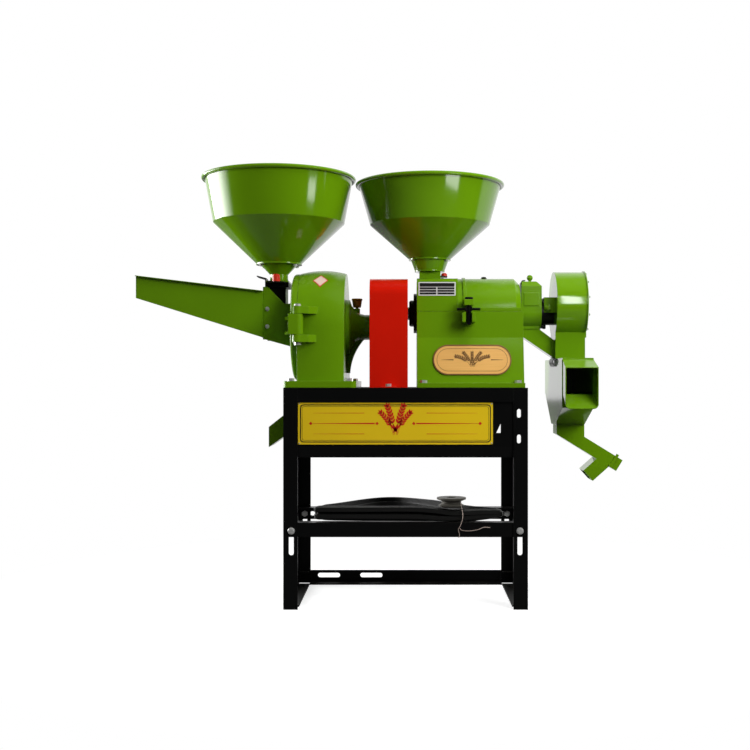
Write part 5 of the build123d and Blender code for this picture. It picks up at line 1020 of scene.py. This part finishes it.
def add_wrapped_lozenge(bm, half_u, half_v, low, high, cells=12):
    """Lozenge on its corner, cut into cells so that it follows the drum."""
    def corner(a, b, lift):
        return bm.verts.new(on_drum((a - b) * half_u / cells, (a + b - cells) * half_v / cells, lift))

    steps = range(cells + 1)
    layers = [[[corner(a, b, lift) for b in steps] for a in steps] for lift in (low, high)]
    for a in range(cells):
        for b in range(cells):
            for layer, flip in ((layers[0], -1), (layers[1], 1)):
                bm.faces.new([layer[a][b], layer[a + 1][b], layer[a + 1][b + 1], layer[a][b + 1]][::flip])
    rim = ([(a, 0) for a in range(cells)] + [(cells, b) for b in range(cells)]
           + [(a, cells) for a in range(cells, 0, -1)] + [(0, b) for b in range(cells, 0, -1)])
    for (a, b), (c, d) in zip(rim, rim[1:] + rim[:1]):
        bm.faces.new((layers[0][a][b], layers[0][c][d], layers[1][c][d], layers[1][a][b]))


for name, half_u, half_v, low, high, finish, slot in (
        ("sticker_edge", 20, 27, 0.05, 0.3, "ink_red", "red_paint"),
        ("sticker_field", 17, 23, 0.28, 0.42, "sticker_blush", "bright_steel")):
    sticker = bmesh.new()
    add_wrapped_lozenge(sticker, half_u, half_v, low, high)
    mesh_piece(name, sticker, finish, "frame")
print("plates done")

# %% [markdown]
# ## The bundle of belts
# Spare V-belts lie on the motor shelf, tied near their right end. A belt is one closed loop, and each is
# laid double, so its line goes twice round before it meets itself. Two waves of half the turning speed
# keep the two turns apart: one wave sets them side by side, and where it passes through zero the other
# lifts one turn over the other. The front run follows the front rail and the rear run bows back to the
# rear rail, where the strands lie flatter.

# %% Belts
HALF_SECTION = [(-5.2, 8.0), (-4.6, 8.5), (5.0, 5.4), (5.4, 4.8)]
BELT_SECTION = [(a, -b) for a, b in HALF_SECTION] + HALF_SECTION[::-1]
BELT_MIDDLE_X, BELT_HALF_LENGTH, BELT_HALF_WIDTH = 7, 226, 9
RAIL_TOP = 217
TIP_Y = -146
PULLEY_X, PULLEY_DENT, PULLEY_SPREAD = 116, 8, 55
TAIL_START, TAIL_SINK, TAIL_RISE = 0.35, 0.7, 7


def belt_line(reach, shift, level, spread, climb, phase, count=260):
    """Closed line of a belt that is laid double over the two shelf rails."""
    points = []
    for step in range(count):
        turn = 2 * math.tau * step / count
        c, s = math.cos(turn), math.sin(turn)
        apart = spread * math.cos(turn / 2 + phase)
        along = -math.copysign(abs(c) ** 0.85, c)
        x = BELT_MIDDLE_X + (BELT_HALF_LENGTH + apart) * along
        front, back = max(0.0, s) ** 0.6, max(0.0, -s) ** 0.6
        bow = math.sin(math.pi * ((along + 1) / 2) ** 0.72) ** 2.2 * back
        y = TIP_Y + (shift - 16 - apart * 0.6) * front + 30 * back + (reach + apart * 1.5) * bow
        under_pulley = PULLEY_DENT * math.exp(-((x - PULLEY_X) / PULLEY_SPREAD) ** 2) * front
        tail = max(0.0, along - TAIL_START) / (1 - TAIL_START)
        pile = level * (1 - 0.35 * bow) + climb * (1 + math.sin(turn / 2 + phase)) * (1 - 0.6 * bow)
        lowest = RAIL_TOP + BELT_HALF_WIDTH
        z = lowest + pile * (1 - TAIL_SINK * tail) + TAIL_RISE * tail ** 2
        points.append(Vector((x, y, max(z - under_pulley, lowest))))
    return points


belts = bmesh.new()
for lay in ((262, 0, 0, 8, 2.5, 0.3), (240, 9, 6, 9, 3.0, 1.6), (252, 1, 19, 9, 3.0, 2.7)):
    add_sweep(belts, belt_line(*lay), BELT_SECTION, closed=True)
bundle = mesh_piece("belt_bundle", belts, "belt_rubber", "motor_shelf", 30)
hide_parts("spare_belts")
print("belts up to", round(max(v.co.z for v in bundle.data.vertices) / MM), "mm")

# %% [markdown]
# ## Binding wire
# A soft tan wire ties the loose pulley to the bundle. One end comes over the belts and hangs down in
# front of the rail, and the other bends away to the right.

# %% Binding wire
moulded("wire_tan", (0.44, 0.35, 0.3), 0.4, (0.65, 0.58, 0.52))
WIRE_RADIUS = 0.85
HANGING_END = [(134, -128, 262), (136, -146, 268), (139, -163, 262), (142, -173, 246), (143, -179, 230),
               (138, -182.5, 212), (132, -183, 200), (135, -183, 188), (133, -183, 179)]
RIGHT_END = [(135, -178, 206), (140, -183, 199), (158, -184, 197), (180, -184, 200), (196, -183.5, 206),
             (212, -183, 205)]


def smooth_line(points, steps=8):
    """Points along a smooth line through the given points."""
    given = [Vector(p) for p in points]
    line = []
    for index in range(len(given) - 1):
        p0, p1 = given[max(index - 1, 0)], given[index]
        p2, p3 = given[index + 1], given[min(index + 2, len(given) - 1)]
        for step in range(steps):
            t = step / steps
            line.append(0.5 * (2 * p1 + (p2 - p0) * t + (2 * p0 - 5 * p1 + 4 * p2 - p3) * t * t
                               + (3 * p1 - p0 - 3 * p2 + p3) * t ** 3))
    line.append(given[-1])
    return line


wire = bmesh.new()
for points in (HANGING_END, RIGHT_END):
    add_sweep(wire, smooth_line(points), ring_outline(WIRE_RADIUS), up=Vector((1, 0.2, 0.1)))
mesh_piece("binding_wire", wire, "wire_tan", "motor_shelf")
print("binding wire done")

# %% [markdown]
# ## Weld beads
# The angle irons are welded at their corners and the sheet boxes along their edges. A bead is a row of
# overlapping ripples, so each is a tube whose thickness swells and shrinks along its length.

# %% Weld beads
FRAME_BEAD, BOX_BEAD, EDGE_BEAD = 2.2, 1.6, 1.4
LEG_EDGE_X, LEG_EDGE_Y = 269.5, 148.5
RAIL_END_X, RAIL_FACE_Y = 301.5, 180.5

frame_beads = bmesh.new()
for x in (-1, 1):
    for y in (-1, 1):
        front, end = (x * LEG_EDGE_X, y * RAIL_FACE_Y), (x * RAIL_END_X, y * LEG_EDGE_Y)
        add_bead(frame_beads, (*front, 519), (*front, 551), FRAME_BEAD, 11 + x + 3 * y)
        add_bead(frame_beads, (*end, 519), (*end, 550), FRAME_BEAD, 31 + x + 3 * y)
for x in (-1, 1):
    add_bead(frame_beads, (x * 300, 149, 36), (x * 272, 149, 36), FRAME_BEAD, 51 + x)
    add_bead(frame_beads, (x * LEG_EDGE_X, 181, 4), (x * LEG_EDGE_X, 181, 36), FRAME_BEAD, 61 + x)
mesh_piece("frame_weld_beads", frame_beads, "frame_black", "frame", 60)

box_beads = bmesh.new()
for y in (-48.5, 48.5):
    add_bead(box_beads, (396, y, 630.5), (468, y, 630.5), BOX_BEAD, 71 + int(y))
add_bead(box_beads, (392.8, -180, 507), (392.8, -180, 626), EDGE_BEAD, 81)
for y in (-36, 36):
    add_bead(box_beads, (398, y, 456.5), (466, y, 456.5), EDGE_BEAD, 85 + y)
mesh_piece("box_weld_beads", box_beads, "sheet_green", "frame", 60)
print("weld beads done")

# %% [markdown]
# ## Hopper seams
# A hopper is rolled from one sheet and closed at the back by a lapped, riveted seam. The lap is a strip
# that follows the band and the cone, so it is drawn by height along the outline of the hopper.

# %% Lapped seams
LAP_SECTION = ((-9, 0.1), (-9, 1.3), (9, 1.3), (9, 0.1))
LAP_STEPS = 12


def hopper_seam(name, x, foot, top, body):
    """Lap strip and rivets at the back of a hopper, from one (radius, height) to another."""
    def between(share):
        return [low + (high - low) * share for low, high in zip(foot, top)]

    bm = bmesh.new()
    rows = []
    for step in range(LAP_STEPS + 1):
        radius, z = between(step / LAP_STEPS)
        row = []
        for offset, lift in LAP_SECTION:
            angle = math.radians(90) + offset / radius
            reach = radius + lift
            row.append(bm.verts.new((x + reach * math.cos(angle), reach * math.sin(angle), z)))
        rows.append(row)
    add_skin(bm, rows)
    slope = Vector((0, top[1] - foot[1], foot[0] - top[0])).normalized()
    for share in (0.15, 0.5, 0.85):
        radius, z = between(share)
        add_rivet(bm, (x, radius + 1.2, z), slope, 3)
    mesh_piece(name, bm, "sheet_green", body)


hopper_seam("feed_hopper_seam", FEED_HOPPER_X, (67, 891), (174, 992.2), "door")
hopper_seam("feed_band_seam", FEED_HOPPER_X, (174, 993), (195, 1103), "door")
hopper_seam("mill_hopper_seam", MILL_HOPPER_X, (62, 902), (159, 987), "lid")
hopper_seam("mill_band_seam", MILL_HOPPER_X, (159, 988), (188, 1086), "lid")
print("seams done")
